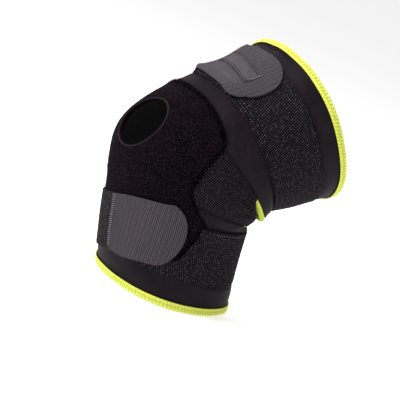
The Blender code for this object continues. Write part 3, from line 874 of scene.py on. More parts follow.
def border_fuzz():
    """Longer fibres over the panel's edges, leaning out across the seam."""
    rng = np.random.RandomState(21)
    line = np.concatenate(
        [front_run(PANEL_SIDE_LOW[0], 14), PANEL_SIDE_LOW, PANEL_SIDE_MID[1:], PANEL_SIDE_HIGH[1:]]
    )
    top = front_run(PANEL_SIDE_HIGH[-1], 14)[::-1]
    line = np.concatenate([line, top])
    line = np.concatenate([line, line[::-1] * np.array([1.0, -1.0])])
    place = np.concatenate([[0.0], np.cumsum(np.linalg.norm(np.diff(tube(line[:, 0], line[:, 1]), axis=0), axis=-1))])
    at = rng.uniform(0.0, place[-1], 15000)
    t = np.interp(at, place, line[:, 0])
    phi = np.interp(at, place, line[:, 1])
    middle = np.array([0.083, 0.0])
    pull = rng.uniform(0.0, 0.045, len(at))
    t = t + (middle[0] - t) * pull
    phi = phi * (1 - pull)
    away = tube(t + (t - middle[0]) * 0.02, phi * 1.02) - tube(t, phi)
    away /= np.maximum(np.linalg.norm(away, axis=-1, keepdims=True), 1e-9)
    height = soft(t, phi) + np.maximum(PLUSH_PROUD, band_swell(t, phi)) - 0.0001
    return plush_fibres("front_panel_fuzz", t, phi, height, 0.0030, 0.00009, away * 1.7, 22, fringe)


front_panel()
pile_coat(34000)
border_fuzz()


# ---------------------------------------------------------------- edging of the patella hole
def hole_ring(angles, reach, off):
    """Points over the tube that stand reach from the hole's axis."""
    flat = (hole_side * np.cos(angles)[..., None] + hole_up * np.sin(angles)[..., None]) * np.asarray(reach)[..., None]
    target = hole_centre + flat
    t = np.full(angles.shape, HOLE_T)
    phi = np.zeros(angles.shape)
    for _ in range(12):
        gap = target - tube(t, phi)
        gap = gap - hole_axis * (gap @ hole_axis)[..., None]
        along = (tube(t + 0.0005, phi) - tube(t - 0.0005, phi)) / 0.001
        around = tube(t, phi + 0.5) - tube(t, phi - 0.5)
        t = t + (gap * along).sum(-1) / (along * along).sum(-1)
        phi = phi + (gap * around).sum(-1) / (around * around).sum(-1)
    return tube(t, phi, off + soft(t, phi))


def patella_edging():
    """Overlocked rim: a soft roll with its thread wrapped over it."""
    wraps = 112
    angles = 2 * math.pi * np.arange(wraps * 5) / (wraps * 5)
    turn = 2 * math.pi * np.arange(14) / 14
    a = np.repeat(angles[:, None], 14, axis=1)
    lean = a * wraps + turn[None, :] * 0.8
    lift = 0.5 + 0.5 * np.cos(lean)
    radius = 0.00078 + 0.00018 * lift
    reach = HOLE_R - 0.0006 + radius * np.cos(turn)[None, :] * 0.9
    off = 0.0002 + radius * np.sin(turn)[None, :] * 1.15
    points = hole_ring(a, reach, off)
    rows, columns = a.shape
    i = np.arange(rows)[:, None]
    j = np.arange(columns)[None, :]
    after_i = (i + 1) % rows
    after_j = (j + 1) % columns
    faces = np.stack(
        [i * columns + j, i * columns + after_j, after_i * columns + after_j, after_i * columns + j], -1
    ).reshape(-1, 4)
    made = new_piece(
        "patella_hole_overlock", points.reshape(-1, 3), faces, [web_cloth], np.zeros((4 * len(faces), 2)), lift.ravel()
    )
    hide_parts("patella_hole_edging")
    return across_knee(made)


patella_edging()


# ---------------------------------------------------------------- side gussets
def gusset(name, node, side):
    """Coarse stretch knit, pleated where it gathers behind the side of the knee."""
    knit_rows = 29
    knit_columns = 34
    rows = 4 * knit_rows + 1
    columns = 4 * knit_columns + 1
    front = evenly(PANEL_SIDE_MID, rows)
    back = evenly(END_EDGE, rows)
    low = evenly(GUSSET_LOW_LINE, columns)
    high = evenly(GUSSET_HIGH_LINE, columns)
    v = np.linspace(0.0, 1.0, rows)[:, None, None]
    w = np.linspace(0.0, 1.0, columns)[None, :, None]
    straight = front[:, None] * (1 - w) + back[:, None] * w
    low_bow = low[None] - (front[0] * (1 - w) + back[0] * w)
    high_bow = high[None] - (front[-1] * (1 - w) + back[-1] * w)
    places = straight + low_bow * (1 - v) + high_bow * v
    v = v[..., 0]
    w = w[..., 0]
    t = 0.1055 + (places[..., 0] - 0.1055) * 0.985
    phi = 80.0 + (places[..., 1] - 80.0) * 0.985 - 1.3 * (1 - ease(0.0, 0.06, w))
    swell = 0.0021 * np.sin(math.pi * v) ** 0.8 * np.sin(math.pi * np.clip(w, 0, 1)) ** 0.6
    to_pivot_t = (t - 0.1070) * 1.35
    to_pivot_p = (phi - 111.0) * 0.00118
    angle = np.arctan2(to_pivot_t, -to_pivot_p)
    reach = np.hypot(to_pivot_t, to_pivot_p)
    lobe = np.sin(math.pi * np.clip(0.16 + 0.84 * v, 0.0, 1.0)) ** 0.8
    pleats = np.cos(8.2 * angle + 0.7 + 18.0 * reach) * bell(reach, 0.0145, 0.0115) * np.sin(math.pi * v) ** 0.7
    fold = 0.0011 * pleats * ease(0.12, 0.45, w) * (1 - ease(0.84, 0.98, w))
    row_at = knit_rows * v + 0.0 * w
    column_at = knit_columns * w + 0.0 * v
    stagger = np.floor(row_at + 1e-6)
    loops = 0.5 + 0.5 * np.cos(2 * math.pi * column_at + math.pi * stagger)
    yarn = loops ** 0.8 * np.abs(np.sin(math.pi * row_at)) ** 0.7
    phi = phi + 10.5 * lobe * ease(0.74, 1.0, w)
    t = t - 0.0016 * ease(0.80, 1.0, w) * (1 - v) ** 2
    over = ease(0.74, 0.94, w) * lobe ** 0.5
    base = tube(t, phi)
    gap = seam_gap(base, "lhse")
    off = soft(t, phi) + swell + fold + 0.0030 * over + 0.00036 * (yarn - 0.4) + rolled(gap, 0.0022, 0.0017)
    under = soft(t, phi) - NEOPRENE + 0.0046 * over
    if side < 0:
        t = t[:, ::-1]
        phi = -phi[:, ::-1]
        off = off[:, ::-1]
        yarn = yarn[:, ::-1]
        under = under[:, ::-1] + soft(t, phi) - soft(t, -phi)
        base = tube(t, phi)
        off = off + soft(t, phi) - soft(t, -phi)
    outer = tube(t, phi, off).reshape(-1, 3)
    inner = tube(t, phi, under).reshape(-1, 3)
    faces, maps = grid_faces(*t.shape)
    cloth = grid_map(base).reshape(-1, 2)
    made = closed_skin(name, outer, inner, faces, maps, cloth, [knit_cloth, lining], yarn.ravel())
    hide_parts(node)
    return across_knee(made)


gusset("gusset_knit_right", "side_gusset_right", 1)
gusset("gusset_knit_left", "side_gusset_left", -1)


# ---------------------------------------------------------------- rim bindings
STITCH_PITCH = 0.0032


def rim_tape(name, node, end, inwards, body):
    """Folded elastic tape over a rim, puffed between the stitches of its zigzag seam."""
    nose = np.linspace(0.0, math.pi, 15)
    c = -0.0018
    h = 0.0034
    d = 0.0026
    nose_off = c + h * np.sign(np.cos(nose)) * np.abs(np.cos(nose)) ** 0.6
    nose_reach = d * (1 - np.sin(nose) ** 0.6)
    leg = np.linspace(0.0062, 0.0029, 9)
    reach = np.concatenate(
        [leg, nose_reach, leg[::-1], [0.0066, 0.0066, 0.0062], [0.0030, 0.0016, 0.0013, 0.0016, 0.0030], [0.0062, 0.0066, 0.0066]]
    )
    off = np.concatenate(
        [
            np.full(9, 0.0016),
            nose_off,
            np.full(9, c - h),
            [c - h + 0.0002, -0.0045, -0.0043],
            [-0.0043, -0.0040, c, 0.0004, 0.0007],
            [0.0007, 0.0009, 0.0014],
        ]
    )
    columns = 960
    around = 360.0 * np.arange(columns) / columns
    edge = tube(np.full(columns, end), around)
    steps = np.linalg.norm(np.roll(edge, -1, axis=0) - edge, axis=-1)
    length = steps.sum()
    place = np.concatenate([[0.0], np.cumsum(steps)[:-1]])
    count = int(round(length / STITCH_PITCH))
    phase = 2 * math.pi * place / length * count
    shown = np.zeros(len(reach))
    shown[:17] = 1.0
    r = reach[:, None]
    row = np.where(r > 0.0036, 1.0, -1.0)
    puff = 0.5 + 0.5 * np.cos(phase[None, :] + np.where(row > 0, 0.0, math.pi))
    hollow = bell(r, 0.0036, 0.0008)
    fine = 0.5 + 0.5 * np.cos(3 * phase[None, :])
    # Painted shade: dark dimples where the zigzag's stitches pull into the tape.
    stitch_dimple_shade = ease(0.55, 0.95, 0.5 + 0.5 * np.cos(phase[None, :] + 1.2)) * bell(r, 0.0033, 0.0007)
    # The yarn attribute sets the tape's colour: painted highlight on the puffs, painted shade in the seam's hollow and
    # at the stitch dimples.
    yarn = np.clip(0.48 + 0.36 * puff - 0.26 * hollow - 0.70 * stitch_dimple_shade + 0.16 * fine, 0.0, 1.0)
    raise_by = shown[:, None] * (0.00034 * (puff - 0.5) - 0.00024 * hollow + 0.00007 * fine)
    yarn = np.where(shown[:, None] > 0, yarn, 0.55)
    t = end + inwards * r + 0.0 * phase[None, :]
    phi = around[None, :] + 0.0 * r
    points = tube(t, phi, off[:, None] + raise_by + soft(np.full_like(t, end), phi))
    rows = len(reach)
    i = np.arange(rows)[:, None]
    j = np.arange(columns)[None, :]
    after_i = (i + 1) % rows
    after_j = (j + 1) % columns
    faces = np.stack(
        [i * columns + j, i * columns + after_j, after_i * columns + after_j, after_i * columns + j], -1
    ).reshape(-1, 4)
    if inwards > 0:
        faces = faces[:, ::-1]
    cloth = np.stack(
        np.broadcast_arrays(
            np.stack([j, j + 1, j + 1, j], -1) * length * 100 / columns, np.stack([i, i, i + 1, i + 1], -1) * 0.05
        ),
        -1,
    ).reshape(-1, 4, 2)
    if inwards > 0:
        cloth = cloth[:, ::-1]
    made = new_piece(name, points.reshape(-1, 3), faces, [tape], cloth, yarn.ravel())
    made.data.set_sharp_from_angle(angle=math.radians(80))
    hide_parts(node)
    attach(made, body)
    half = np.arange(2 * count)
    place_at = np.interp((half / (2 * count)) * length, np.concatenate([place, [length]]), np.append(around, 360.0))
    after = np.interp(((half + 1) / (2 * count)) * length, np.concatenate([place, [length]]), np.append(around, 360.0))
    low = 0.0026
    high = 0.0047
    ups = half % 2 == 0
    ends = np.stack(
        [
            np.stack([end + inwards * np.where(ups, low, high), place_at], -1),
            np.stack([end + inwards * np.where(ups, high, low), after], -1),
        ],
        axis=1,
    )
    seam = stitches(
        name.replace("tape", "zigzag"), ends, lambda a, b: 0.00162 + 0.0 * a, 0.00021, lime_thread, 0.00022, 0.00035
    )
    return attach(seam, body)


rim_tape("calf_rim_tape", "calf_rim_binding", 0.0, 1.0, "calf_cuff")
rim_tape("thigh_rim_tape", "thigh_rim_binding", LENGTH, -1.0, "thigh_cuff")


# ---------------------------------------------------------------- rolled tape round the opening behind the knee
def popliteal_tape():
    half = np.concatenate([LOWER_EDGE[::-1], END_EDGE[1:], UPPER_EDGE[1:]])
    left = half[::-1][1:-1] * np.array([1.0, -1.0]) + np.array([0.0, 360.0])
    loop = np.concatenate([half, left])
    for _ in range(3):
        loop_next = np.roll(loop, -1, axis=0)
        loop_last = np.roll(loop, 1, axis=0)
        loop = loop * 0.5 + (loop_next + loop_last) * 0.25
    mid = tube(loop[:, 0], loop[:, 1], -NEOPRENE / 2 + hood(loop[:, 0], side_angle(loop[:, 1])))
    steps = np.linalg.norm(np.roll(mid, -1, axis=0) - mid, axis=-1)
    place = np.concatenate([[0.0], np.cumsum(steps)])
    length = place[-1]
    count = int(round(length / 0.0030))
    rows = count * 8
    at = np.arange(rows) / rows * length
    closed = np.concatenate([loop, loop[:1]])
    t = np.interp(at, place, closed[:, 0])
    phi = np.interp(at, place, closed[:, 1])
    mid = tube(t, phi, -NEOPRENE / 2 + hood(t, side_angle(phi)) - 0.0034 * (1 - ease(0.080, 0.095, t)))
    way = np.roll(mid, -1, axis=0) - np.roll(mid, 1, axis=0)
    way /= np.linalg.norm(way, axis=-1, keepdims=True)
    normal = outward(t, phi)
    inwards = np.cross(way, normal)
    inwards /= np.linalg.norm(inwards, axis=-1, keepdims=True)
    normal = np.cross(inwards, way)
    centre = mid + inwards * 0.0022
    turn = 2 * math.pi * np.arange(18) / 18
    phase = 2 * math.pi * at / length * count
    puff = 0.5 + 0.5 * np.cos(phase[:, None] + np.where(np.cos(turn - 0.9) > 0, 0.0, math.pi)[None, :])
    hollow = bell(np.cos(turn - 0.9 - math.pi / 2), 0.0, 0.28)[None, :]
    # The yarn attribute sets the tape's colour: painted highlight on the puffs, painted shade in the hollows.
    yarn = np.clip(0.35 + 0.5 * puff - 0.4 * hollow + 0.2 * np.cos(3 * phase)[:, None], 0, 1)
    radius = 0.00222 + 0.00026 * puff - 0.00016 * hollow
    points = centre[:, None] + radius[..., None] * (
        np.cos(turn)[None, :, None] * inwards[:, None] + np.sin(turn)[None, :, None] * normal[:, None]
    )
    columns = len(turn)
    i = np.arange(rows)[:, None]
    j = np.arange(columns)[None, :]
    after_i = (i + 1) % rows
    after_j = (j + 1) % columns
    faces = np.stack(
        [i * columns + j, i * columns + after_j, after_i * columns + after_j, after_i * columns + j], -1
    ).reshape(-1, 4)
    cloth = np.stack(
        np.broadcast_arrays(
            np.stack([i, i, i + 1, i + 1], -1) * length * 100 / rows, np.stack([j, j + 1, j + 1, j], -1) * 0.08
        ),
        -1,
    )
    made = new_piece("popliteal_tape", points.reshape(-1, 3), faces, [tape], cloth, yarn.ravel())
    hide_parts("popliteal_edging")
    across_knee(made)
    return made


popliteal_tape()


# ---------------------------------------------------------------- straps
def upper_base(turn):
    return LAYER_GAP + 0.0021 * ease(311.0, 323.0, turn)


def lower_base(turn):
    return LAYER_GAP + 0.0007 * ease(352.0, 359.0, turn)


BUMP = 0.00042                     # height of the webbing's loops
LOOP_PITCH = 0.0019                # along the webbing
LOOP_ROW = 0.0016                  # across it
SELVAGE = 0.0013


def place_along(line, start, stop, height=0.0):
    """Cloth length along a strap's middle at many turns, and those turns."""
    turns = np.linspace(start, stop, 2000)
    middle = tube(line(turns), turns, height)
    place = np.concatenate([[0.0], np.cumsum(np.linalg.norm(np.diff(middle, axis=0), axis=-1))])
    return place, turns


def webbing(name, line, whole, start, stop, base, tongue=False, top_line=None, thick=WEB_THICK):
    """A length of elastic webbing from start to stop degrees. whole is where the strap begins, so that the
    weave runs through from one length to the next. top_line gives a cut upper edge, as height over the middle."""
    place, turns = place_along(line, whole, stop)
    first = np.interp(start, turns, place)
    cells = int(round((place[-1] - first) / LOOP_PITCH))
    samples = 4 * cells + 1
    along = np.linspace(first, place[-1], samples)
    turn = np.interp(along, place, turns)
    rows = int(round((2 * WEB_HALF - 2 * SELVAGE) / LOOP_ROW))
    inner_v = np.linspace(-WEB_HALF + SELVAGE, WEB_HALF - SELVAGE, 4 * rows + 1)
    edge_v = WEB_HALF - np.array([0.0, 0.00025, 0.0006, 0.0011])
    v = np.concatenate([-edge_v, inner_v, edge_v[::-1]])
    grid_turn = np.repeat(turn[None, :], len(v), axis=0)
    highest = np.full(samples, WEB_HALF) if top_line is None else top_line(turn)
    grid_v = -WEB_HALF + (v[:, None] + WEB_HALF) / (2 * WEB_HALF) * (highest[None, :] + WEB_HALF)
    u_phase = 2 * math.pi * along[None, :] / LOOP_PITCH
    row_at = (grid_v + WEB_HALF - SELVAGE) / LOOP_ROW
    stagger = np.floor(row_at + 1e-6)
    loops = (0.5 + 0.5 * np.cos(u_phase + 0.62 * math.pi * stagger)) ** 0.8
    yarn = loops * np.abs(np.sin(math.pi * row_at)) ** 0.6
    from_edge = np.minimum(grid_v + WEB_HALF, highest[None, :] - grid_v)
    selvage = WEB_HALF - np.abs(grid_v) < SELVAGE - 1e-6
    cord = 0.5 + 0.5 * np.cos(u_phase * LOOP_PITCH / 0.0026 + 5.0 * from_edge / SELVAGE)
    yarn = np.where(selvage, 0.20 + 0.45 * cord, yarn)
    uneven = ripple(np.stack([grid_turn * 0.0012, grid_v, 0 * grid_v], -1), 0.010, 7)
    lift = np.where(selvage, -0.00004 + 0.00026 * cord, BUMP * (yarn - 0.35) * (1 + 0.25 * uneven))
    lift = lift + rolled(from_edge, 0.0013, 0.0016)
    wander = 0.00022 * ripple(np.stack([grid_turn * 0.0012, 0 * grid_v, 0 * grid_v], -1), 0.006, 9)
    t = line(grid_turn) + grid_v + np.sign(grid_v) * np.where(selvage, wander, 0.0)
    under = base(grid_turn)
    top = under + (thick(grid_turn) if callable(thick) else thick)
    if tongue:
        end = ease(stop - 7.6, stop - 6.6, grid_turn)
        top = top - end * (top - under - 0.0002)
        under = under - 0.0005 * end
        lift = lift * (1 - end)
    slow = soft(t, grid_turn)
    outer = tube(t, grid_turn, top + lift + slow)
    coarse_v = np.arange(0, len(v), 4)
    coarse_u = np.arange(0, samples, 4)
    inner = tube(t[np.ix_(coarse_v, coarse_u)], grid_turn[np.ix_(coarse_v, coarse_u)], (under + slow)[np.ix_(coarse_v, coarse_u)])
    big = outer.reshape(-1, 3)
    small = inner.reshape(-1, 3)
    faces, _ = grid_faces(len(v), samples)
    back, _ = grid_faces(len(coarse_v), len(coarse_u))
    back = back[:, ::-1] + len(big)
    fans = []
    count_u = samples
    wide = len(coarse_u)

    def fan(fine, coarse, flip):
        """Triangles between a fine border line and a line with a quarter of its points."""
        for k in range(len(coarse) - 1):
            f = fine[4 * k : 4 * k + 5]
            a = coarse[k]
            b = coarse[k + 1]
            for tri in ((f[0], f[1], a), (f[1], f[2], a), (f[2], b, a), (f[2], f[3], b), (f[3], f[4], b)):
                fans.append(tri[::-1] if flip else tri)

    i = np.arange(len(v))
    ci = np.arange(len(coarse_v))
    fan((0 * count_u + np.arange(samples)).tolist(), (len(big) + np.arange(wide)).tolist(), True)
    fan(
        ((len(v) - 1) * count_u + np.arange(samples)).tolist(),
        (len(big) + (len(coarse_v) - 1) * wide + np.arange(wide)).tolist(),
        False,
    )
    fan((i * count_u).tolist(), (len(big) + ci * wide).tolist(), False)
    fan((i * count_u + samples - 1).tolist(), (len(big) + ci * wide + wide - 1).tolist(), True)
    fans = np.array(fans)
    cm_big = np.stack([np.repeat(along[None, :], len(v), 0), grid_v], -1).reshape(-1, 2) * 100
    cm = np.concatenate([cm_big, cm_big.reshape(len(v), samples, 2)[np.ix_(coarse_v, coarse_u)].reshape(-1, 2)])
    corners = np.concatenate([faces.ravel(), back.ravel(), fans.ravel()])
    all_faces = faces.tolist() + back.tolist() + fans.tolist()
    all_yarn = np.concatenate([yarn.ravel(), np.full(len(small), 0.35)])
    made = new_piece(name, np.concatenate([big, small]), all_faces, [web_cloth], cm[corners], all_yarn)
    return made


def over_hinge(obj, line, hinge, reach):
    """Bakes the piece's placement into its mesh and works out each point's share of the hinge's motion over reach
    degrees each side of its hinge; the shares are not kept.
    """
    low = tube(line(hinge - reach), hinge - reach)
    high = tube(line(hinge + reach), hinge + reach)
    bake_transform(obj)
    points = points_of(obj)
    sample = np.linspace(hinge - 60.0, hinge + 60.0, 241)
    middle = tube(line(sample), sample, 0.002)
    nearest = np.zeros(len(points))
    for k in range(0, len(points), 20000):
        part = points[k : k + 20000]
        far = ((part[:, None] - middle[None]) ** 2).sum(-1)
        nearest[k : k + 20000] = sample[far.argmin(axis=1)]
    turn_share(points, line, nearest, hinge, reach)
    return obj


def turn_share(points, line, turn, hinge, reach):
    """Share of the hinge's motion at each point, from its exact place along the strap."""
    for _ in range(3):
        here = tube(line(turn), turn, 0.002)
        ahead = tube(line(turn + 0.5), turn + 0.5, 0.002) - here
        turn = turn + 0.5 * ((points - here) * ahead).sum(-1) / (ahead * ahead).sum(-1)
    return ease(hinge - reach, hinge + reach, turn)


# ---------------------------------------------------------------- camera, lights, floor
def studio():
    azimuth, elevation, roll = math.radians(54.0), math.radians(10.5), math.radians(21.5)
    back = Vector(
        (math.sin(azimuth) * math.cos(elevation), -math.cos(azimuth) * math.cos(elevation), math.sin(elevation))
    )
    right = Vector((math.cos(azimuth), math.sin(azimuth), 0.0))
    up = back.cross(right)
    tilted_right = right * math.cos(roll) + up * math.sin(roll)
    tilted_up = up * math.cos(roll) - right * math.sin(roll)
    eye = back * 1.3
    target = tilted_right * -0.0013 + tilted_up * -0.0353
    look_back = (eye - target).normalized()
    side = tilted_up.cross(look_back).normalized()
    over = look_back.cross(side)
    data = bpy.data.cameras.new("camera")
    data.lens = 137.6
    data.sensor_width = 36.0
    data.clip_start = 0.05
    data.clip_end = 200.0
    camera = bpy.data.objects.new("camera", data)
    camera.matrix_world = Matrix.Translation(eye) @ Matrix((side, over, look_back)).transposed().to_4x4()
    bpy.context.scene.collection.objects.link(camera)
    bpy.context.scene.camera = camera

    def lamp(name, place, size, power, aim=(0.0, 0.01, 0.0), tint=(1.0, 1.0, 1.0)):
        light = bpy.data.lights.new(name, "AREA")
        light.shape = "DISK"
        light.size = size
        light.energy = power
        light.color = tint
        lamp_object = bpy.data.objects.new(name, light)
        lamp_object.location = place
        lamp_object.rotation_euler = (Vector(place) - Vector(aim)).to_track_quat("Z", "Y").to_euler()
        bpy.context.scene.collection.objects.link(lamp_object)

    eye_up = Vector(tilted_up)
    eye_right = Vector(tilted_right)
    lamp("key", eye_up * 1.26 + back * 0.66 - eye_right * 0.54, 0.7, 28.0)
    lamp("fill", back * 1.2 + eye_right * 0.9 + eye_up * 0.1, 1.0, 3.5)
    lamp("rim", eye_up * 0.9 - back * 0.7 + eye_right * 0.4, 0.6, 9.0)

    world = bpy.data.worlds.new("studio")
    bpy.context.scene.world = world
    world.use_nodes = True
    world.node_tree.nodes["Background"].inputs["Color"].default_value = (1.0, 1.0, 1.0, 1.0)
    world.node_tree.nodes["Background"].inputs["Strength"].default_value = 0.58
    bpy.context.scene.view_settings.view_transform = "Standard"

    mesh = bpy.data.meshes.new("floor")
    half = 60.0
    level = CALF_RIM - 0.0006
    mesh.from_pydata([(-half, -half, level), (half, -half, level), (half, half, level), (-half, half, level)], [], [(0, 1, 2, 3)])
    floor = bpy.data.objects.new("floor", mesh)
    bpy.context.scene.collection.objects.link(floor)
    pale = bpy.data.materials.new("pale_floor")
    pale.use_nodes = True
    shader = pale.node_tree.nodes["Principled BSDF"]
    shader.inputs["Base Color"].default_value = (0.94, 0.94, 0.94, 1.0)
    shader.inputs["Roughness"].default_value = 0.9
    shader.inputs["Specular IOR Level"].default_value = 0.1
    shader.inputs["Emission Color"].default_value = (1.0, 1.0, 1.0, 1.0)
    shader.inputs["Emission Strength"].default_value = 0.34
    mesh.materials.append(pale)


studio()

# ---------------------------------------------------------------- pieces on the strap lines


LOWER_FIRST = 14.0                 # where the lower strap's sewn end lies, under its own tab
LOWER_SHOWN = 79.3                 # from here on it is clear of the front panel


def strap_lengths(stem, line, base, whole, start, hinges, bodies, cuts):
    """Lengths of webbing: each but the first spans one hinge. The last ends in a tongue under the tab."""
    limits = [start, *cuts, hinges[-1] + 7.0]
    first = webbing(f"{stem}_webbing_sewn", line, whole, limits[0], limits[1], base)
    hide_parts(f"{stem}_strap_webbing_1")
    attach(first, bodies[0])
    for k in range(1, len(limits) - 1):
        last = k == len(limits) - 2
        made = webbing(f"{stem}_webbing_{k}", line, whole, limits[k], limits[k + 1], base, tongue=last)
        if k < len(hinges):
            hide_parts(f"{stem}_strap_webbing_{k + 1}")
        over_hinge(made, line, hinges[k - 1], 4.0 if last else 13.0)


def panel_corner(turn):
    """The front panel's lower edge at each angle, as height over the lower strap's middle."""
    t = np.linspace(PANEL_LOW, 0.0798, 400)
    return np.minimum(np.interp(turn, panel_angle(t), t) - 0.0003 - lower_line(turn), WEB_HALF)


def front_thickness(turn):
    """The sewn end is pressed flat where the tab closes over it."""
    return 0.0005 + 0.0011 * ease(63.0, 76.0, turn)


strap_lengths(
    "upper", upper_line, upper_base, UPPER_START, UPPER_START, UPPER_HINGES,
    ["thigh_cuff", "upper_strap_2", "upper_strap_3", "upper_strap_4", "upper_tab"], [182.0, 227.0, 270.0, 308.0],
)
strap_lengths(
    "lower", lower_line, lower_base, LOWER_FIRST, LOWER_SHOWN, LOWER_HINGES,
    ["calf_cuff", "lower_strap_2", "lower_strap_3", "lower_strap_4", "lower_strap_5", "lower_tab"],
    [182.0, 227.0, 272.0, 312.0, 345.0],
)
sewn_end = webbing(
    "lower_webbing_end", lower_line, LOWER_FIRST, LOWER_FIRST, LOWER_SHOWN - 0.15, lower_base,
    top_line=panel_corner, thick=front_thickness,
)
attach(sewn_end, "calf_cuff")


# ---------------------------------------------------------------- hook tabs
UPPER_TAB_BASE = 0.0031
LOWER_TAB_BASE = 0.0016


def lower_tab_line(turn):
    """Middle of the lower tab, a little below its webbing's."""
    return lower_line(turn) - 0.0012 * ease(362.0, 385.0, turn)


def upper_tab_line(turn):
    """Middle of the upper tab, which sits a little low over its root."""
    return upper_line(turn) - 0.0030 * ease(328.0, 339.0, turn) * (1 - ease(350.0, 384.0, turn))


def tab_end(across, stop, corners):
    """Where a tab ends at each place across it, from -1 to 1; corners are a depth and roundness for each."""
    low, high = corners
    depth = np.where(across < 0, low[0], high[0])
    power = np.where(across < 0, low[1], high[1])
    return stop - depth * (1 - np.maximum(1 - np.abs(across) ** power, 0.0) ** (1 / power))


UPPER_CORNERS = ((15.0, 2.4), (26.0, 2.5))
LOWER_CORNERS = ((16.0, 2.0), (16.0, 1.75))


def tab_lift(t, turn, stop):
    """A tab's own slight waves, and its free end standing a little off the cloth."""
    return 0.00018 * ripple(tube(t, turn), 0.024, 15) + 0.0005 * ease(stop - 30.0, stop, turn)


def tab_layer(
    name, node, line, start, stop, corners, half, base, thick, material, bodies, hinge, inset=0.0
):
    """Stiff band with a rounded free end and a soft edge."""
    across = np.sin(np.radians(90.0 * (2 * shares(76) - 1)))
    share = shares(130, (False, True))
    turn = start + (tab_end(across, stop - inset, corners)[:, None] - start) * share[None, :]
    narrow = 1 - (1 - min(1.0, WEB_HALF / half)) * (1 - ease(start, start + 22.0, turn))
    v = across[:, None] * half * narrow
    t = line(turn) + v
    surface = tube(t, turn)
    gap = seam_gap(surface, "lhe")
    lift = soft(t, turn) + tab_lift(t, turn, stop)
    lift = lift + 0.0009 * ease(0.72, 1.0, -across[:, None])
    outer = tube(t, turn, base + thick + lift + rolled(gap, 0.0007, min(0.0007, 0.5 * thick)))
    inner = tube(t, turn, base + lift)
    faces, maps = grid_faces(*t.shape)
    place, turns = place_along(line, start, stop)
    cloth = np.stack([np.interp(turn, turns, place), v], -1).reshape(-1, 2) * 100.0
    made = closed_skin(name, outer.reshape(-1, 3), inner.reshape(-1, 3), faces, maps, cloth, [material, material])
    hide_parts(node)
    if hinge is None:
        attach(made, bodies[1])
    else:
        over_hinge(made, line, hinge, 4.0)
    return made


def hooks(name, line, start, stop, corners, half, base, body, seed):
    """Bent hooks over the inner face of a hook patch."""
    rng = np.random.RandomState(seed)
    turn = rng.uniform(start + 0.5, stop, 5200)
    v = rng.uniform(-half + 0.0005, half - 0.0005, len(turn))
    keep = turn < tab_end(v / half, stop, corners) - 0.6
    turn = turn[keep]
    t = line(turn) + v[keep]
    height = base + soft(t, turn) + tab_lift(t, turn, stop)
    made = fibres(name, t, turn, height, 0.00045, 0.00011, np.zeros(3), seed, hook_plastic, inwards=True)
    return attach(made, body)


def both_tabs():
    half = TAB_HALF - 0.0022
    bodies = ("upper_strap_4", "upper_tab")
    tab_layer(
        "upper_tab_twill", "upper_strap_tab", upper_tab_line, UPPER_HINGES[-1] + 0.2, UPPER_END, UPPER_CORNERS, TAB_HALF,
        UPPER_TAB_BASE, TAB_THICK, twill, bodies, UPPER_HINGES[-1],
    )
    tab_layer(
        "upper_hook_tape", "upper_tab_hook_patch", upper_tab_line, 340.0, UPPER_END, UPPER_CORNERS, half,
        UPPER_TAB_BASE - 0.0006, 0.00055, hook_plastic, bodies, None, inset=2.2,
    )
    hooks("upper_hooks", upper_tab_line, 340.0, UPPER_END - 2.2, UPPER_CORNERS, half, UPPER_TAB_BASE - 0.0006, "upper_tab", 31)
    bodies = ("lower_strap_5", "lower_tab")
    tab_layer(
        "lower_tab_twill", "lower_strap_tab", lower_tab_line, LOWER_HINGES[-1] + 0.2, LOWER_END, LOWER_CORNERS, TAB_HALF + 0.0012,
        LOWER_TAB_BASE, TAB_THICK, twill, bodies, LOWER_HINGES[-1],
    )
    tab_layer(
        "lower_hook_tape", "lower_tab_hook_patch", lower_tab_line, 372.0, LOWER_END, LOWER_CORNERS, half,
        LOWER_TAB_BASE - 0.0006, 0.00055, hook_plastic, bodies, None, inset=2.4,
    )
    hooks("lower_hooks", lower_tab_line, 372.0, LOWER_END - 2.4, LOWER_CORNERS, half, LOWER_TAB_BASE - 0.0006, "lower_tab", 32)


both_tabs()

# ---------------------------------------------------------------- label
LABEL_FROM = 332.0
LABEL_TO = 383.0
LABEL_HALF = 0.0088
LABEL_BASE = UPPER_TAB_BASE + TAB_THICK


def label_line(turn):
    return 0.1722 - 0.0125 * ease(325.0, 405.0, turn)


def label_top(t, turn):
    return LABEL_BASE + 0.0006 + tab_lift(t, turn, UPPER_END)


def label():
    turn = LABEL_FROM + (LABEL_TO - LABEL_FROM) * shares(90)[None, :]
    v = LABEL_HALF * (2 * shares(24)[:, None] - 1)
    t = label_line(turn) + v
    turn = turn + 0.0 * v
    surface = tube(t, turn)
    gap = seam_gap(surface, "lhse")
    pull = 0.00012 * bell(LABEL_HALF - np.abs(v), 0.0010, 0.0004)
    outer = tube(t, turn, label_top(t, turn) + soft(t, turn) - pull + rolled(gap, 0.0005, 0.0003))
    inner = tube(t, turn, LABEL_BASE + 0.00005 + tab_lift(t, turn, UPPER_END) + soft(t, turn))
    faces, maps = grid_faces(*t.shape)
    cloth = grid_map(surface).reshape(-1, 2)
    made = closed_skin(
        "upper_label", outer.reshape(-1, 3), inner.reshape(-1, 3), faces, maps, cloth, [satin, satin]
    )
    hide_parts("upper_tab_label")
    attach(made, "upper_tab")


label()


# ---------------------------------------------------------------- stitching
def run_of(line, start, stop, pitch, length):
    """Straight stitches along line(turn), pitch apart and length long, as pairs of ends."""
    turns = np.linspace(start, stop, 1200)
    places = tube(line(turns), turns)
    at = np.concatenate([[0.0], np.cumsum(np.linalg.norm(np.diff(places, axis=0), axis=-1))])
    first = np.arange(0.0, at[-1] - length, pitch)
    a = np.interp(first, at, turns)
    b = np.interp(first + length, at, turns)
    return np.stack([np.stack([line(a), a], -1), np.stack([line(b), b], -1)], axis=1)


def sewn(name, ends, off, radius, thread, body, slot="edge_thread", **shape):
    made = stitches(name, ends, off, radius, thread, **shape)
    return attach(made, body) if body else across_knee(made)


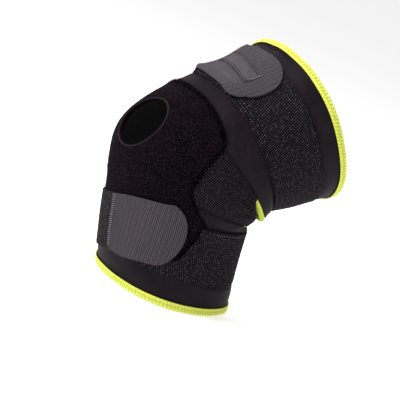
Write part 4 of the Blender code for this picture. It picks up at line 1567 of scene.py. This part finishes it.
def label_stitches():
    for name, offset in (
        ("label_stitch_low", 0.0007 - LABEL_HALF), ("label_stitch_low_inner", 0.0028 - LABEL_HALF),
        ("label_stitch_high_inner", LABEL_HALF - 0.0028), ("label_stitch_high", LABEL_HALF - 0.0007),
    ):
        ends = run_of(lambda turn: label_line(turn) + offset, LABEL_FROM, LABEL_TO, 0.0021, 0.0018)
        sewn(name, ends, label_top, 0.00034, dark_thread, "upper_tab", rise=0.00006, sink=0.0002)
    inset = LABEL_HALF - 0.0010
    for name, turn, low, high, tint in (
        ("label_end_front", LABEL_TO - 1.0, -0.0030, inset, pale_thread),
        ("label_end_corner", LABEL_TO - 1.0, -inset, -0.0036, dark_thread),
        ("label_end_back", LABEL_FROM + 1.2, -inset, inset, dark_thread),
    ):
        v = np.arange(low, high, 0.0021)
        a = np.stack([label_line(turn) + v, turn + 0.0 * v], -1)
        b = np.stack([label_line(turn) + v + 0.0012, turn + 0.4 + 0.0 * v], -1)
        sewn(name, np.stack([a, b], axis=1), label_top, 0.00024, tint, "upper_tab", rise=0.00018, sink=0.0003)


def root_seam(stem, line, hinge, web_top, tab_top, thread):
    """Slanted strokes that join a tab to its webbing."""
    middle = line(hinge)
    t = np.arange(middle - WEB_HALF + 0.0006, middle + WEB_HALF - 0.0022, 0.00165)
    near = hinge - 1.2 + 0.0 * t
    far = hinge + 3.8 + 0.0 * t
    ends = np.stack([np.stack([t, near], -1), np.stack([t + 0.0021, far], -1)], axis=1)

    def height(_, turn):
        return web_top + (tab_top - web_top) * ease(hinge - 0.8, hinge + 0.4, turn)

    made = stitches(f"{stem}_root_seam", ends, height, 0.00022, thread, 0.00030, 0.0003)
    over_hinge(made, line, hinge, 4.0)


def strap_stitches():
    sewn_top = LAYER_GAP + WEB_THICK
    inset = WEB_HALF - 0.0026
    for stem, line, start, body in (
        ("upper", upper_line, 45.0, "thigh_cuff"),
        ("lower", lower_line, LOWER_SHOWN + 1.0, "calf_cuff"),
    ):
        for name, side in (("low", -1), ("high", 1)):
            ends = run_of(lambda turn: line(turn) + side * inset, start, 179.0, 0.0036, 0.0026)
            thread = grey_thread if (stem, name) == ("lower", "high") else dark_thread
            sewn(
                f"{stem}_strap_stitch_{name}", ends, lambda a, b: sewn_top + 0.0 * a, 0.00022, thread, body,
                rise=0.00022, sink=0.0005,
            )


def gusset_seams():
    """Flat overlock across the seams of each gusset."""
    for name, line, inner in (("low", GUSSET_LOW_LINE, -1), ("high", GUSSET_HIGH_LINE, 1)):
        spread = evenly(line, 46)[2:-2]
        for hand, side in (("right", 1), ("left", -1)):
            a = spread * np.array([1.0, side]) + np.array([inner * 0.0014, 0.0])
            b = spread * np.array([1.0, side]) + np.array([-inner * 0.0016, 0.35 * side])
            ends = np.stack([a, b], axis=1)
            sewn(
                f"gusset_seam_{name}_{hand}", ends, lambda t, phi: 0.0002 + 0.0 * t, 0.00020, dark_thread, None,
                rise=0.0004, sink=0.0006,
            )


seam_thread = thread_look("thread_seam", (0.24, 0.215, 0.25), 0.55)
label_stitches()
root_seam(
    "upper", upper_line, UPPER_HINGES[-1], upper_base(UPPER_HINGES[-1]) + WEB_THICK, UPPER_TAB_BASE + TAB_THICK,
    seam_thread,
)
root_seam(
    "lower", lower_line, LOWER_HINGES[-1], lower_base(LOWER_HINGES[-1]) + WEB_THICK, LOWER_TAB_BASE + TAB_THICK,
    seam_thread,
)
strap_stitches()
gusset_seams()
